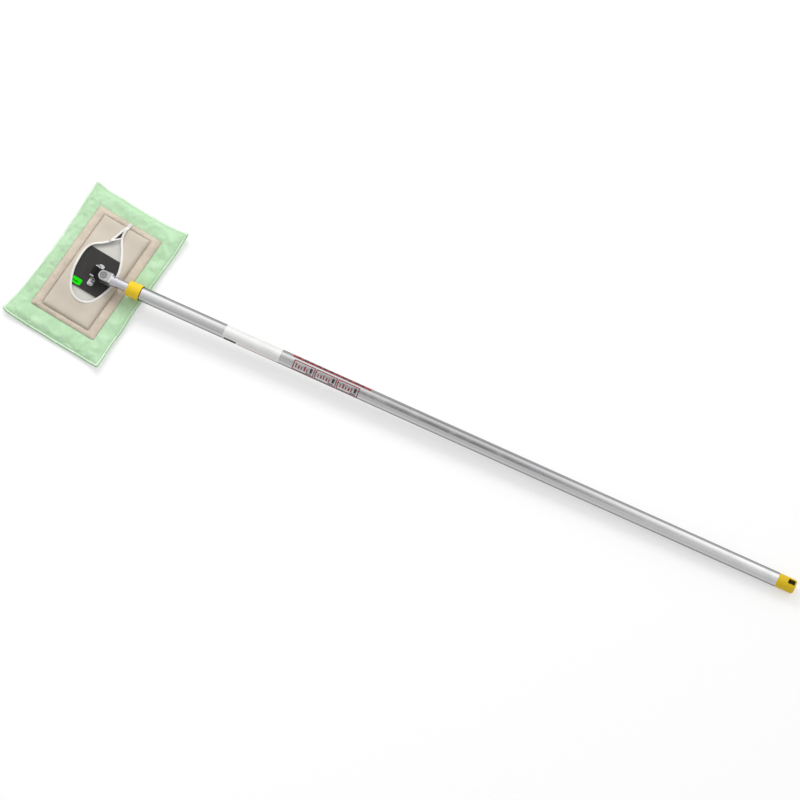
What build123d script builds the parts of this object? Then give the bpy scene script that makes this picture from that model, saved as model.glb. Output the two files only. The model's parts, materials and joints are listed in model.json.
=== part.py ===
from build123d import *
import math
import os

# A flat mop: a plate in a pocket cloth, a two-axis joint and an aluminium pole, in millimetres.
# The origin is the centre of the cloth's sole. +X runs along the head, +Y goes from the head towards
# the handle and +Z is up. At rest the sole and the end cap lie on the floor.

# Plates inside the pocket
BASE_LENGTH = 188.0
BASE_WIDTH = 87.0
BASE_THICK = 4.5
BASE_CORNER = 6.0
CENTRE_X = 2.55
CENTRE_LENGTH = 76.1
CENTRE_INSET = 3.5
CENTRE_THICK = 3.0
CENTRE_CORNER = 1.5
LABEL_LENGTH = 19.5
LABEL_WIDTH = 11.8
LABEL_THICK = 0.25
LABEL_CORNER = 2.8
LABEL_FROM_END = 1.8
LABEL_FROM_SIDE = 10.2

# Two layers of cleaning cloth, whose sides are drawn in between the corners
CLOTH_THICK = 4.0
BACKING_THICK = 3.5
CLOTH_MARGIN_END = 35.5
CLOTH_MARGIN_SIDE = 36.5
CLOTH_DRAW = 6.0
CLOTH_ROUNDING = 1.2
BACKING_STEP = 1.0

# Pocket sewn on the backing cloth
PANEL_SKIRT = 4.5
PANEL_CLOTH = 1.6
PANEL_CORNER = 8.0
POCKET_EASE = 0.6
SEAM_GROOVE = 1.0
BORDER_SIDE = 13.0
BORDER_END = 8.5
BORDER_CROWN = 4.0

# Shares of a strip's width and of its crown, from its outer edge to the start of its ridge
PUFFED_PROFILE = ((0.0, 0.0), (0.08, 0.6), (0.35, 1.0))
# Shares of the skirt's width and of the panel's height, from its seam to its flat top
DRAPE_PROFILE = ((0.0, 0.0), (0.25, 0.5), (0.7, 0.86), (2.0, 0.95), (4.5, 1.0))

# Drop-shaped opening in the panel, its binding and its strap
OPENING_BOWL_X = 60.5
OPENING_WIDEST_X = -5.0
OPENING_SIDE_INSET = 10.2
OPENING_NECK_INSET = 32.5
OPENING_NECK_GAP = 16.0
OPENING_TIP_INSET = 9.0
OPENING_TIP_GAP = 3.0
BOWL_RADIUS = 27.0
SHOULDER_RADIUS = 44.0
BINDING_WIDTH = 4.2
BINDING_RISE = 0.8
BINDING_ROUNDING = 1.0
STRAP_WIDTH = 4.5
STRAP_SLANT = 35.0
STRAP_THICK = 1.0
STUD_RADIUS = 2.2
STUD_HEIGHT = 1.2

# Hinge: two angle brackets, a pin and the knuckle
JOINT_X = 7.0
JOINT_Y = 3.5
HINGE_RISE = 19.0
BRACKET_GAP = 18.0
BRACKET_SHEET = 1.6
BRACKET_WIDTH = 11.0
BRACKET_FOOT = 11.5
BRACKET_CORNER = 3.8
BRACKET_BEND = 1.0
HINGE_PIN_RADIUS = 3.0
PIN_HEAD_RADIUS = 4.6
PIN_HEAD_THICK = 1.6
PIN_TAIL = 3.0
RING_RADIUS = 4.8
RING_THICK = 0.9
RING_GROOVE = 0.6
SCREW_RADIUS = 2.5
SCREW_HEAD_RADIUS = 4.4
SCREW_HEAD_HEIGHT = 2.4
NUT_FLATS = 8.0
NUT_THICK = 2.6
RECESS_LENGTH = 4.6
RECESS_WIDTH = 1.1
RECESS_DEPTH = 1.2
KNUCKLE_RADIUS = 6.5
TONGUE_THICK = 8.0
HINGE_TO_PIVOT = 19.0

# Fork, pivot screw and neck
WASHER_RADIUS = 7.8
WASHER_THICK = 0.8
FORK_RADIUS = 9.4
FORK_LEAF = 4.8
FORK_CROTCH = 13.5
FORK_WEB = 3.0
FORK_SHOULDER = 1.5
FORK_SOCKET = 10.0
FORK_SLEEVE_WALL = 0.9
FORK_ROUNDING = 1.6
PIVOT_RADIUS = 3.5
PIVOT_HEAD_RADIUS = 5.4
PIVOT_HEAD_HEIGHT = 2.4
PIVOT_HEAD_RING = 0.9
PIVOT_NUT_FLATS = 10.0
PIVOT_NUT_THICK = 2.6
NECK_RADIUS = 8.6
NECK_PIN_RADIUS = 1.5
NECK_PIN_INSET = 3.5
NECK_PIN_ROLL = 25.0

# Pole, collar and end cap
NECK_EXPOSED = 20.5
COLLAR_RADIUS = 14.0
COLLAR_LENGTH = 25.0
COLLAR_LIP = 3.0
COLLAR_CHAMFER = 1.4
PLUG_LENGTH = 45.0
PLUG_STOP = 2.0
POLE_RADIUS = 12.5
POLE_WALL = 1.2
POLE_STEP = 0.2
POLE_LENGTH = 1223.5
CAP_LENGTH = 32.5
CAP_SPIGOT = 22.0
CAP_ROUNDING = 5.0
SLOT_LENGTH = 12.0
SLOT_WIDTH = 9.0
SLOT_FROM_TIP = 8.8
SLOT_ROLL = 15.0

# Clearances
RUNNING_FIT = 0.05
CLOSE_FIT = 0.05
SIDE_PLAY = 0.3
FACE_PLAY = 0.15
SEAT_PLAY = 0.2

# How far the handle is turned about the pivot screw as it lies at rest, in degrees
REST_SWING = 7.06

# Levels of the stack, upwards from the floor
BACKING_Z = CLOTH_THICK
BASE_Z = BACKING_Z + BACKING_THICK
CENTRE_Z = BASE_Z + BASE_THICK
FOOT_Z = CENTRE_Z + CENTRE_THICK
HINGE_Z = FOOT_Z + HINGE_RISE
ROOF_Z = FOOT_Z + POCKET_EASE
PANEL_TOP_Z = ROOF_Z + PANEL_CLOTH
BINDING_Z = FOOT_Z + POCKET_EASE / 2
BINDING_TOP_Z = PANEL_TOP_Z + BINDING_RISE

# Sizes of the pocket and the cloth, outwards from the base plate
CENTRE_WIDTH = BASE_WIDTH - 2 * CENTRE_INSET
PANEL_LENGTH = BASE_LENGTH + 2 * PANEL_SKIRT
PANEL_WIDTH = BASE_WIDTH + 2 * PANEL_SKIRT
BORDER_LENGTH = PANEL_LENGTH + 2 * (SEAM_GROOVE + BORDER_END)
BORDER_WIDTH = PANEL_WIDTH + 2 * (SEAM_GROOVE + BORDER_SIDE)
CLOTH_LENGTH = BORDER_LENGTH + 2 * CLOTH_MARGIN_END
CLOTH_WIDTH = BORDER_WIDTH + 2 * CLOTH_MARGIN_SIDE
NECK_X = -PANEL_LENGTH / 2 + OPENING_NECK_INSET

# Places along the handle, from the pivot screw
SOCKET_START = FORK_CROTCH + FORK_WEB
FORK_END = SOCKET_START + FORK_SOCKET
COLLAR_START = FORK_END + NECK_EXPOSED
COLLAR_END = COLLAR_START + COLLAR_LENGTH
POLE_START = COLLAR_START + COLLAR_LIP
POLE_END = POLE_START + POLE_LENGTH
TIP = POLE_END + CAP_LENGTH
PLUG_END = POLE_START + PLUG_LENGTH
POLE_BORE = POLE_RADIUS - POLE_WALL
POLE_SEAT = POLE_RADIUS - POLE_STEP
KNUCKLE_LENGTH = BRACKET_GAP - 2 * SIDE_PLAY
SLOT_HALF = TONGUE_THICK / 2 + WASHER_THICK + FACE_PLAY
FORK_HALF = SLOT_HALF + FORK_LEAF
SLEEVE_RADIUS = NECK_RADIUS + FORK_SLEEVE_WALL

# At rest the pole slopes from the hinge down to where its end cap touches the floor.
FLOOR_REACH = HINGE_TO_PIVOT + (TIP - CAP_ROUNDING) * math.cos(math.radians(REST_SWING))
REST_DROP = math.degrees(math.asin((HINGE_Z - POLE_RADIUS) / FLOOR_REACH))

STRAP_AT = Pos(NECK_X, 0, 0) * Rot(Z=STRAP_SLANT)
JOINT_AT = Pos(JOINT_X, JOINT_Y, 0)
KNUCKLE_AT = Pos(JOINT_X, JOINT_Y, HINGE_Z) * Rot(X=-REST_DROP)
HANDLE_AT = KNUCKLE_AT * Pos(0, HINGE_TO_PIVOT, 0) * Rot(Z=REST_SWING)

UPWARDS = (Align.CENTER, Align.CENTER, Align.MIN)


def rod(radius, start, end):
    """Round bar along +Y."""
    return Pos(0, start, 0) * Rot(X=-90) * Cylinder(radius, end - start, align=UPWARDS)


def cross_rod(radius, start, end):
    """Round bar along +X."""
    return Pos(start, 0, 0) * Rot(Y=90) * Cylinder(radius, end - start, align=UPWARDS)


def disc(radius, start, end):
    """Round bar along +Z."""
    return Pos(0, 0, start) * Cylinder(radius, end - start, align=UPWARDS)


def slab(length, width, corner, bottom, top):
    """Flat plate with rounded corners."""
    return extrude(Pos(0, 0, bottom) * RectangleRounded(length, width, corner), top - bottom)


def hexagon(flats, bottom, top):
    """Upright hexagonal bar."""
    return extrude(Pos(0, 0, bottom) * RegularPolygon(flats / 2, 6, major_radius=False), top - bottom)


def cross_recess(top):
    """Driver recess sunk into a screw head."""
    bar = Pos(0, 0, top - RECESS_DEPTH) * Box(RECESS_LENGTH, RECESS_WIDTH, RECESS_DEPTH, align=UPWARDS)
    return bar + Rot(Z=90) * bar


def cloth_outline(length, width):
    """Rectangle whose four sides are drawn in as shallow arcs."""
    x = length / 2
    y = width / 2
    sides = [
        ThreePointArc((-x, -y), (0, -y + CLOTH_DRAW), (x, -y)),
        ThreePointArc((x, -y), (x - CLOTH_DRAW, 0), (x, y)),
        ThreePointArc((x, y), (0, y - CLOTH_DRAW), (-x, y)),
        ThreePointArc((-x, y), (-x + CLOTH_DRAW, 0), (-x, -y)),
    ]
    return make_face(sides)


def cloth_layer(length, width, bottom, thick):
    """One layer of cloth with a rounded rim."""
    inner = (length - 2 * CLOTH_ROUNDING, width - 2 * CLOTH_ROUNDING)
    levels = [
        Pos(0, 0, bottom) * cloth_outline(*inner),
        Pos(0, 0, bottom + thick / 2) * cloth_outline(length, width),
        Pos(0, 0, bottom + thick) * cloth_outline(*inner),
    ]
    return loft(levels, ruled=True)


def wiping_cloth():
    return cloth_layer(CLOTH_LENGTH, CLOTH_WIDTH, 0, CLOTH_THICK)


def backing_cloth():
    step = 2 * BACKING_STEP
    return cloth_layer(CLOTH_LENGTH - step, CLOTH_WIDTH - step, BACKING_Z, BACKING_THICK)


def border_level(share, rise):
    """Rectangle that lies a share of the strip's width inside its outer edge."""
    length = BORDER_LENGTH - 2 * share * BORDER_END
    width = BORDER_WIDTH - 2 * share * BORDER_SIDE
    return Pos(0, 0, BASE_Z + rise * BORDER_CROWN) * Rectangle(length, width)


def pocket_border():
    """Puffed strip round the pocket."""
    outside = loft([border_level(share, rise) for share, rise in PUFFED_PROFILE], ruled=True)
    inside = loft([border_level(1 - share, rise) for share, rise in PUFFED_PROFILE], ruled=True)
    return outside - inside


def mirrored(edges):
    """Edges together with their mirror images across the head's long axis."""
    return edges + [mirror(edge, about=Plane.XZ) for edge in edges]


def opening_outline(grow):
    """Drop shape: an oval bowl that runs through a shoulder and a throat into a pointed neck."""
    half = PANEL_WIDTH / 2 - OPENING_SIDE_INSET
    reach = OPENING_BOWL_X - OPENING_WIDEST_X
    flank = ((reach - BOWL_RADIUS) ** 2 + half**2 - BOWL_RADIUS**2) / (2 * (half - BOWL_RADIUS))
    split = math.degrees(math.atan2(flank - half, reach - BOWL_RADIUS))
    neck = OPENING_NECK_GAP / 2
    run = OPENING_WIDEST_X - NECK_X
    turn = 2 * math.degrees(math.atan2(half - neck, run))
    throat = run / math.sin(math.radians(turn)) - SHOULDER_RADIUS
    tip_x = -PANEL_LENGTH / 2 + OPENING_TIP_INSET - grow
    tip = OPENING_TIP_GAP / 2 + grow
    sides = [
        CenterArc((OPENING_BOWL_X - BOWL_RADIUS, 0), BOWL_RADIUS + grow, 0, split),
        CenterArc((OPENING_WIDEST_X, half - flank), flank + grow, split, 90 - split),
        CenterArc((OPENING_WIDEST_X, half - SHOULDER_RADIUS), SHOULDER_RADIUS + grow, 90, turn),
        CenterArc((NECK_X, neck + throat), throat - grow, 270, turn),
        Line((NECK_X, neck + grow), (tip_x, tip)),
    ]
    return make_face(mirrored(sides) + [Line((tip_x, tip), (tip_x, -tip))])


def panel_level(share, rise):
    """Rounded rectangle that lies a share of the skirt's width inside the panel's seam."""
    inset = share * PANEL_SKIRT
    height = BASE_Z + rise * (PANEL_TOP_Z - BASE_Z)
    size = (PANEL_LENGTH - 2 * inset, PANEL_WIDTH - 2 * inset)
    return Pos(0, 0, height) * RectangleRounded(*size, PANEL_CORNER)


def pocket_panel():
    """Stretch panel pulled over the plates, open in the middle."""
    skin = loft([panel_level(share, rise) for share, rise in DRAPE_PROFILE], ruled=True)
    ease = 2 * POCKET_EASE
    hollow = slab(BASE_LENGTH + ease, BASE_WIDTH + ease, BASE_CORNER + POCKET_EASE, BASE_Z, ROOF_Z)
    opening = extrude(Pos(0, 0, ROOF_Z) * opening_outline(BINDING_WIDTH), 2 * PANEL_CLOTH)
    return skin - hollow - opening


def opening_binding():
    """Elastic edge round the opening."""
    band = Pos(0, 0, BINDING_Z) * (opening_outline(BINDING_WIDTH) - opening_outline(0))
    ring = extrude(band, BINDING_TOP_Z - BINDING_Z)
    return fillet(ring.faces().sort_by(Axis.Z)[-1].edges(), BINDING_ROUNDING)


def closure_strap():
    """Tape slanted across the neck of the opening, lying on the binding at both ends."""
    length = (OPENING_NECK_GAP + 2 * BINDING_WIDTH) / math.cos(math.radians(STRAP_SLANT))
    tape = RectangleRounded(STRAP_WIDTH, length, STRAP_WIDTH / 4)
    return extrude(STRAP_AT * Pos(0, 0, BINDING_TOP_Z) * tape, STRAP_THICK)


def press_stud():
    """Round stud that holds the strap at one end."""
    top = BINDING_TOP_Z + STRAP_THICK
    cap = disc(STUD_RADIUS, top, top + STUD_HEIGHT)
    cap = chamfer(cap.edges().sort_by(Axis.Z)[-1], STUD_HEIGHT / 2)
    reach = (OPENING_NECK_GAP + BINDING_WIDTH) / 2 / math.cos(math.radians(STRAP_SLANT))
    return STRAP_AT * Pos(0, -reach, 0) * cap


def screw_places():
    """Centres of the two bracket feet."""
    reach = BRACKET_GAP / 2 + BRACKET_SHEET + BRACKET_FOOT / 2
    return [JOINT_AT * Pos(reach * side, 0, 0) for side in (-1, 1)]


def base_plate():
    plate = slab(BASE_LENGTH, BASE_WIDTH, BASE_CORNER, BASE_Z, CENTRE_Z)
    for place in screw_places():
        plate -= place * disc(SCREW_RADIUS + CLOSE_FIT, BASE_Z, CENTRE_Z)
        plate -= place * hexagon(NUT_FLATS + 2 * SEAT_PLAY, BASE_Z, BASE_Z + NUT_THICK + SEAT_PLAY)
    return plate


def centre_plate():
    plate = slab(CENTRE_LENGTH, CENTRE_WIDTH, CENTRE_CORNER, CENTRE_Z, FOOT_Z)
    plate = Pos(CENTRE_X, 0, 0) * plate
    for place in screw_places():
        plate -= place * disc(SCREW_RADIUS + CLOSE_FIT, CENTRE_Z, FOOT_Z)
    return plate


def plate_label():
    """Bare label in a corner of the centre plate."""
    x = CENTRE_X + CENTRE_LENGTH / 2 - LABEL_FROM_END - LABEL_WIDTH / 2
    y = -CENTRE_WIDTH / 2 + LABEL_FROM_SIDE + LABEL_LENGTH / 2
    label = slab(LABEL_WIDTH, LABEL_LENGTH, LABEL_CORNER, FOOT_Z, FOOT_Z + LABEL_THICK)
    return Pos(x, y, 0) * label


def bracket():
    """Angle bracket on the +X side, with its foot turned outwards and a round-topped leaf."""
    inner = BRACKET_GAP / 2
    outer = inner + BRACKET_SHEET
    end = outer + BRACKET_FOOT
    foot_top = FOOT_Z + BRACKET_SHEET
    leaf_top = HINGE_Z + BRACKET_WIDTH / 2
    corners = [
        (inner, leaf_top),
        (inner, FOOT_Z),
        (end, FOOT_Z),
        (end, foot_top),
        (outer, foot_top),
        (outer, leaf_top),
    ]
    profile = Polygon(*corners, align=None)
    bends = profile.vertices().sort_by_distance((inner, FOOT_Z))[:1]
    profile = fillet(bends, BRACKET_BEND + BRACKET_SHEET)
    bends = profile.vertices().sort_by_distance((outer, foot_top))[:1]
    profile = fillet(bends, BRACKET_BEND)
    angle = extrude(Plane.XZ * profile, BRACKET_WIDTH / 2, both=True)
    tops = angle.edges().filter_by(Axis.X).group_by(Axis.Z)[-1]
    angle = fillet(tops, BRACKET_WIDTH / 2 - SEAT_PLAY)
    ends = angle.edges().filter_by(Axis.Z).group_by(Axis.X)[-1]
    angle = fillet(ends, BRACKET_CORNER)
    hinge_bore = Pos(0, 0, HINGE_Z) * cross_rod(HINGE_PIN_RADIUS + CLOSE_FIT, inner, outer)
    foot_middle = outer + BRACKET_FOOT / 2
    screw_bore = Pos(foot_middle, 0, 0) * disc(SCREW_RADIUS + CLOSE_FIT, FOOT_Z, foot_top)
    return angle - hinge_bore - screw_bore


def bracket_screws():
    """Screws that hold both brackets and both plates together."""
    seat = FOOT_Z + BRACKET_SHEET
    top = seat + SCREW_HEAD_HEIGHT
    head = disc(SCREW_HEAD_RADIUS, seat, top)
    head = fillet(head.edges().sort_by(Axis.Z)[-1], SCREW_HEAD_HEIGHT / 2)
    screw = head + disc(SCREW_RADIUS, BASE_Z + SEAT_PLAY, seat) - cross_recess(top)
    return [place * screw for place in screw_places()]


def bracket_nuts():
    """Nuts let into the underside of the base plate."""
    bottom = BASE_Z + SEAT_PLAY
    nut = hexagon(NUT_FLATS, bottom, bottom + NUT_THICK)
    nut -= disc(SCREW_RADIUS + CLOSE_FIT, bottom, bottom + NUT_THICK)
    return [place * nut for place in screw_places()]


def ring_start():
    """Distance from the middle of the hinge to the outer bracket face, where the ring sits."""
    return BRACKET_GAP / 2 + BRACKET_SHEET + FACE_PLAY


def hinge_pin():
    """Headed pin with a groove for its retaining ring."""
    face = BRACKET_GAP / 2 + BRACKET_SHEET
    pin = cross_rod(HINGE_PIN_RADIUS, -face - PIN_TAIL, face)
    pin += cross_rod(PIN_HEAD_RADIUS, face, face + PIN_HEAD_THICK)
    groove_end = -ring_start() + FACE_PLAY
    groove_start = -ring_start() - RING_THICK - FACE_PLAY
    groove = cross_rod(RING_RADIUS, groove_start, groove_end)
    groove -= cross_rod(HINGE_PIN_RADIUS - RING_GROOVE, groove_start, groove_end)
    return JOINT_AT * Pos(0, 0, HINGE_Z) * (pin - groove)


def pin_ring():
    """Split retaining ring in the groove of the hinge pin."""
    start = -ring_start() - RING_THICK
    ring = cross_rod(RING_RADIUS, start, -ring_start())
    ring -= cross_rod(HINGE_PIN_RADIUS - RING_GROOVE + CLOSE_FIT, start, -ring_start())
    mouth = Pos(start, 0, -RING_RADIUS) * Box(RING_THICK, HINGE_PIN_RADIUS, RING_RADIUS, align=Align.MIN)
    ring -= Pos(0, -HINGE_PIN_RADIUS / 2, 0) * mouth
    return JOINT_AT * Pos(0, 0, HINGE_Z) * ring


def knuckle():
    """Barrel on the hinge pin with a flat tongue for the pivot screw."""
    half = KNUCKLE_LENGTH / 2
    barrel = cross_rod(KNUCKLE_RADIUS, -half, half)
    tongue = Pos(0, HINGE_TO_PIVOT / 2, 0) * Box(KNUCKLE_LENGTH, HINGE_TO_PIVOT, TONGUE_THICK)
    tongue += Pos(0, HINGE_TO_PIVOT, 0) * disc(half, -TONGUE_THICK / 2, TONGUE_THICK / 2)
    body = barrel + tongue
    body -= cross_rod(HINGE_PIN_RADIUS + RUNNING_FIT, -half, half)
    body -= Pos(0, HINGE_TO_PIVOT, 0) * disc(PIVOT_RADIUS + RUNNING_FIT, -TONGUE_THICK, TONGUE_THICK)
    return KNUCKLE_AT * body


def thrust_washers():
    """Washers on both faces of the tongue."""
    face = TONGUE_THICK / 2
    washer = disc(WASHER_RADIUS, face, face + WASHER_THICK)
    washer -= disc(PIVOT_RADIUS + RUNNING_FIT, face, face + WASHER_THICK)
    place = KNUCKLE_AT * Pos(0, HINGE_TO_PIVOT, 0)
    return [place * washer, place * Rot(Y=180) * washer]


def neck_pin_place():
    """Inside the fork's socket, rolled about the neck."""
    return Pos(0, SOCKET_START + NECK_PIN_INSET, 0) * Rot(Y=-NECK_PIN_ROLL)


def clevis():
    """Cast fork: two round leaves that run into a round sleeve for the neck rod."""
    shoulder = FORK_CROTCH + FORK_SHOULDER
    outline = Pos(0, shoulder / 2) * Rectangle(2 * FORK_RADIUS, shoulder) + Circle(FORK_RADIUS)
    body = extrude(outline, FORK_HALF, both=True)
    rims = body.faces().sort_by(Axis.Z)
    body = fillet(rims[-1].edges() + rims[0].edges(), FORK_ROUNDING)
    body += rod(SLEEVE_RADIUS, FORK_CROTCH, FORK_END)
    gap = Pos(0, -FORK_RADIUS, 0) * Box(
        2 * FORK_RADIUS,
        FORK_RADIUS + FORK_CROTCH,
        2 * SLOT_HALF,
        align=(Align.CENTER, Align.MIN, Align.CENTER),
    )
    body -= gap
    body -= disc(PIVOT_RADIUS + CLOSE_FIT, -FORK_HALF, FORK_HALF)
    head_seat = FORK_HALF - PIVOT_HEAD_HEIGHT - SEAT_PLAY
    body -= disc(PIVOT_HEAD_RADIUS + PIVOT_HEAD_RING, head_seat, FORK_HALF)
    nut_seat = -FORK_HALF + PIVOT_NUT_THICK + SEAT_PLAY
    body -= hexagon(PIVOT_NUT_FLATS + 2 * SEAT_PLAY, -FORK_HALF, nut_seat)
    body -= rod(NECK_RADIUS + CLOSE_FIT, SOCKET_START, FORK_END)
    body -= neck_pin_place() * disc(NECK_PIN_RADIUS + CLOSE_FIT, -FORK_HALF, FORK_HALF)
    return HANDLE_AT * body


def pivot_screw():
    """Cross-recessed screw, sunk in the upper leaf of the fork."""
    seat = FORK_HALF - PIVOT_HEAD_HEIGHT - SEAT_PLAY
    top = seat + PIVOT_HEAD_HEIGHT
    head = disc(PIVOT_HEAD_RADIUS, seat, top)
    head = fillet(head.edges().sort_by(Axis.Z)[-1], PIVOT_HEAD_HEIGHT / 4)
    screw = head + disc(PIVOT_RADIUS, SEAT_PLAY - FORK_HALF, seat) - cross_recess(top)
    return HANDLE_AT * screw


def pivot_nut():
    """Nut let into the lower leaf of the fork."""
    bottom = SEAT_PLAY - FORK_HALF
    nut = hexagon(PIVOT_NUT_FLATS, bottom, bottom + PIVOT_NUT_THICK)
    nut -= disc(PIVOT_RADIUS + CLOSE_FIT, bottom, bottom + PIVOT_NUT_THICK)
    return HANDLE_AT * nut


def neck_rod():
    """Round bar from the fork's socket into the pole's plug."""
    bar = rod(NECK_RADIUS, SOCKET_START, PLUG_END - PLUG_STOP)
    bar -= neck_pin_place() * disc(NECK_PIN_RADIUS + CLOSE_FIT, -FORK_HALF, FORK_HALF)
    return HANDLE_AT * bar


def neck_pin():
    """Pin through the socket and the neck rod."""
    reach = SLEEVE_RADIUS - SEAT_PLAY
    return HANDLE_AT * neck_pin_place() * disc(NECK_PIN_RADIUS, -reach, reach)


def collar():
    """Ferrule over the end of the pole."""
    ring = rod(COLLAR_RADIUS, COLLAR_START, COLLAR_END)
    rims = ring.edges().filter_by(GeomType.CIRCLE).sort_by(Axis.Y)
    ring = chamfer(rims[0], COLLAR_CHAMFER)
    ring -= rod(POLE_SEAT + CLOSE_FIT, POLE_START, COLLAR_END)
    ring -= rod(NECK_RADIUS + CLOSE_FIT, COLLAR_START, POLE_START)
    return HANDLE_AT * ring


def pole_plug():
    """Reducing plug between the neck rod and the pole."""
    plug = rod(POLE_BORE - CLOSE_FIT, POLE_START, PLUG_END)
    plug -= rod(NECK_RADIUS + CLOSE_FIT, POLE_START, PLUG_END - PLUG_STOP)
    return HANDLE_AT * plug


def pole_tube():
    """Tube that is stepped down where the collar sits."""
    tube = rod(POLE_SEAT, POLE_START, COLLAR_END) + rod(POLE_RADIUS, COLLAR_END, POLE_END)
    return HANDLE_AT * (tube - rod(POLE_BORE, POLE_START, POLE_END))


def end_cap():
    """Flush cap with a spigot in the pole and a slot to hang the mop by."""
    cap = rod(POLE_RADIUS, POLE_END, TIP)
    rims = cap.edges().filter_by(GeomType.CIRCLE).sort_by(Axis.Y)
    cap = fillet(rims[-1], CAP_ROUNDING)
    cap += rod(POLE_BORE - CLOSE_FIT, POLE_END - CAP_SPIGOT, POLE_END)
    slot = Rot(Y=-SLOT_ROLL) * Box(SLOT_WIDTH, SLOT_LENGTH, 4 * POLE_RADIUS)
    return HANDLE_AT * (cap - Pos(0, TIP - SLOT_FROM_TIP, 0) * slot)


def pieces():
    """Every piece under the name of its node."""
    right = JOINT_AT * bracket()
    left = JOINT_AT * mirror(bracket(), about=Plane.YZ)
    return {
        "wiping_cloth": wiping_cloth(),
        "backing_cloth": backing_cloth(),
        "pocket_border": pocket_border(),
        "pocket_panel": pocket_panel(),
        "opening_binding": opening_binding(),
        "closure_strap": closure_strap(),
        "press_stud": press_stud(),
        "base_plate": base_plate(),
        "centre_plate": centre_plate(),
        "plate_label": plate_label(),
        "bracket_left": left,
        "bracket_right": right,
        "bracket_screws": Compound(bracket_screws()),
        "bracket_nuts": Compound(bracket_nuts()),
        "hinge_pin": hinge_pin(),
        "pin_ring": pin_ring(),
        "knuckle": knuckle(),
        "thrust_washers": Compound(thrust_washers()),
        "clevis": clevis(),
        "pivot_screw": pivot_screw(),
        "pivot_nut": pivot_nut(),
        "neck_rod": neck_rod(),
        "neck_pin": neck_pin(),
        "collar": collar(),
        "pole_plug": pole_plug(),
        "pole_tube": pole_tube(),
        "end_cap": end_cap(),
    }


def main():
    os.makedirs("parts", exist_ok=True)
    for name, piece in pieces().items():
        export_step(piece, f"parts/{name}.step")


main()
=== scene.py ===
"""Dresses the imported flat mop: sewn pocket cloth, finishes, pole print and a pale studio."""

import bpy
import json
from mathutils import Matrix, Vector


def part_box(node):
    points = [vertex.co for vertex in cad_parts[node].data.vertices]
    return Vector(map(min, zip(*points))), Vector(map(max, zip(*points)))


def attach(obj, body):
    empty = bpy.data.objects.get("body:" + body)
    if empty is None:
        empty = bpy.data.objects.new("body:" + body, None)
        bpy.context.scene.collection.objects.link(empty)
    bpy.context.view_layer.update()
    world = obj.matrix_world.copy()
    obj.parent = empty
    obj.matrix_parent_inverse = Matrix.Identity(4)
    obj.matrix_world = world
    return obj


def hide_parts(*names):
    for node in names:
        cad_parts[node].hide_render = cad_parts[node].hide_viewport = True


bl_info = {
    "name": "Flat mop dressing",
    "version": (1, 0, 0),
    "blender": (4, 5, 0),
    "location": "3D View > Sidebar > Mop",
    "description": "Sewn pocket cloth, finishes, pole print and studio for a flat mop",
    "category": "Object",
}

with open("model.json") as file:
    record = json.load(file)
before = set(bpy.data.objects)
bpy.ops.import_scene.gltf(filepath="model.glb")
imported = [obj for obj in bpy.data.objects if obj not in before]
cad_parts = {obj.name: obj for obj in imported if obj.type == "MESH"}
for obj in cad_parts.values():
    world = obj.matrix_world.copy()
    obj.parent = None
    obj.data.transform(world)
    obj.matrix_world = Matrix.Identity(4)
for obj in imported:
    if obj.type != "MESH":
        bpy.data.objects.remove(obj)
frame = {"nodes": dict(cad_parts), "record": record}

import json
import math

import bmesh
import bpy
import numpy as np
from bpy.props import FloatProperty, FloatVectorProperty, IntProperty, PointerProperty
from mathutils import Matrix, Vector, noise

MM = 0.001
TINY = 1e-9
UP = np.array([0.0, 0.0, 1.0])
RECORD = frame["record"]
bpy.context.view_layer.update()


def tone(red, green, blue):
    """Linear colour of an 8-bit display colour."""

    def linear(value):
        share = value / 255
        return share / 12.92 if share <= 0.04045 else ((share + 0.055) / 1.055) ** 2.4

    return (linear(red), linear(green), linear(blue))


def shaded(tint, part, lift=0.0):
    """Darker or lighter colour of the same kind."""
    return tuple(min(1, c * part + lift) for c in tint)


def size(name, description, millimetres):
    """Property that is a length."""
    return FloatProperty(name=name, description=description, default=millimetres * MM, unit="LENGTH")


def sizes(name, description, millimetres):
    """Property that is a set of lengths."""
    return FloatVectorProperty(
        name=name,
        description=description,
        default=[value * MM for value in millimetres],
        size=len(millimetres),
        unit="LENGTH",
    )


def share(name, description, default):
    """Property that is a share or a strength."""
    return FloatProperty(name=name, description=description, default=default, min=0, subtype="FACTOR")


def angle(name, description, degrees):
    """Property that is an angle."""
    return FloatProperty(name=name, description=description, default=math.radians(degrees), subtype="ANGLE")


def colour(name, description, red, green, blue):
    """Property that is a colour, given as an 8-bit display colour."""
    return FloatVectorProperty(
        name=name,
        description=description,
        default=tone(red, green, blue),
        min=0,
        max=1,
        size=3,
        subtype="COLOR",
    )


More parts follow.
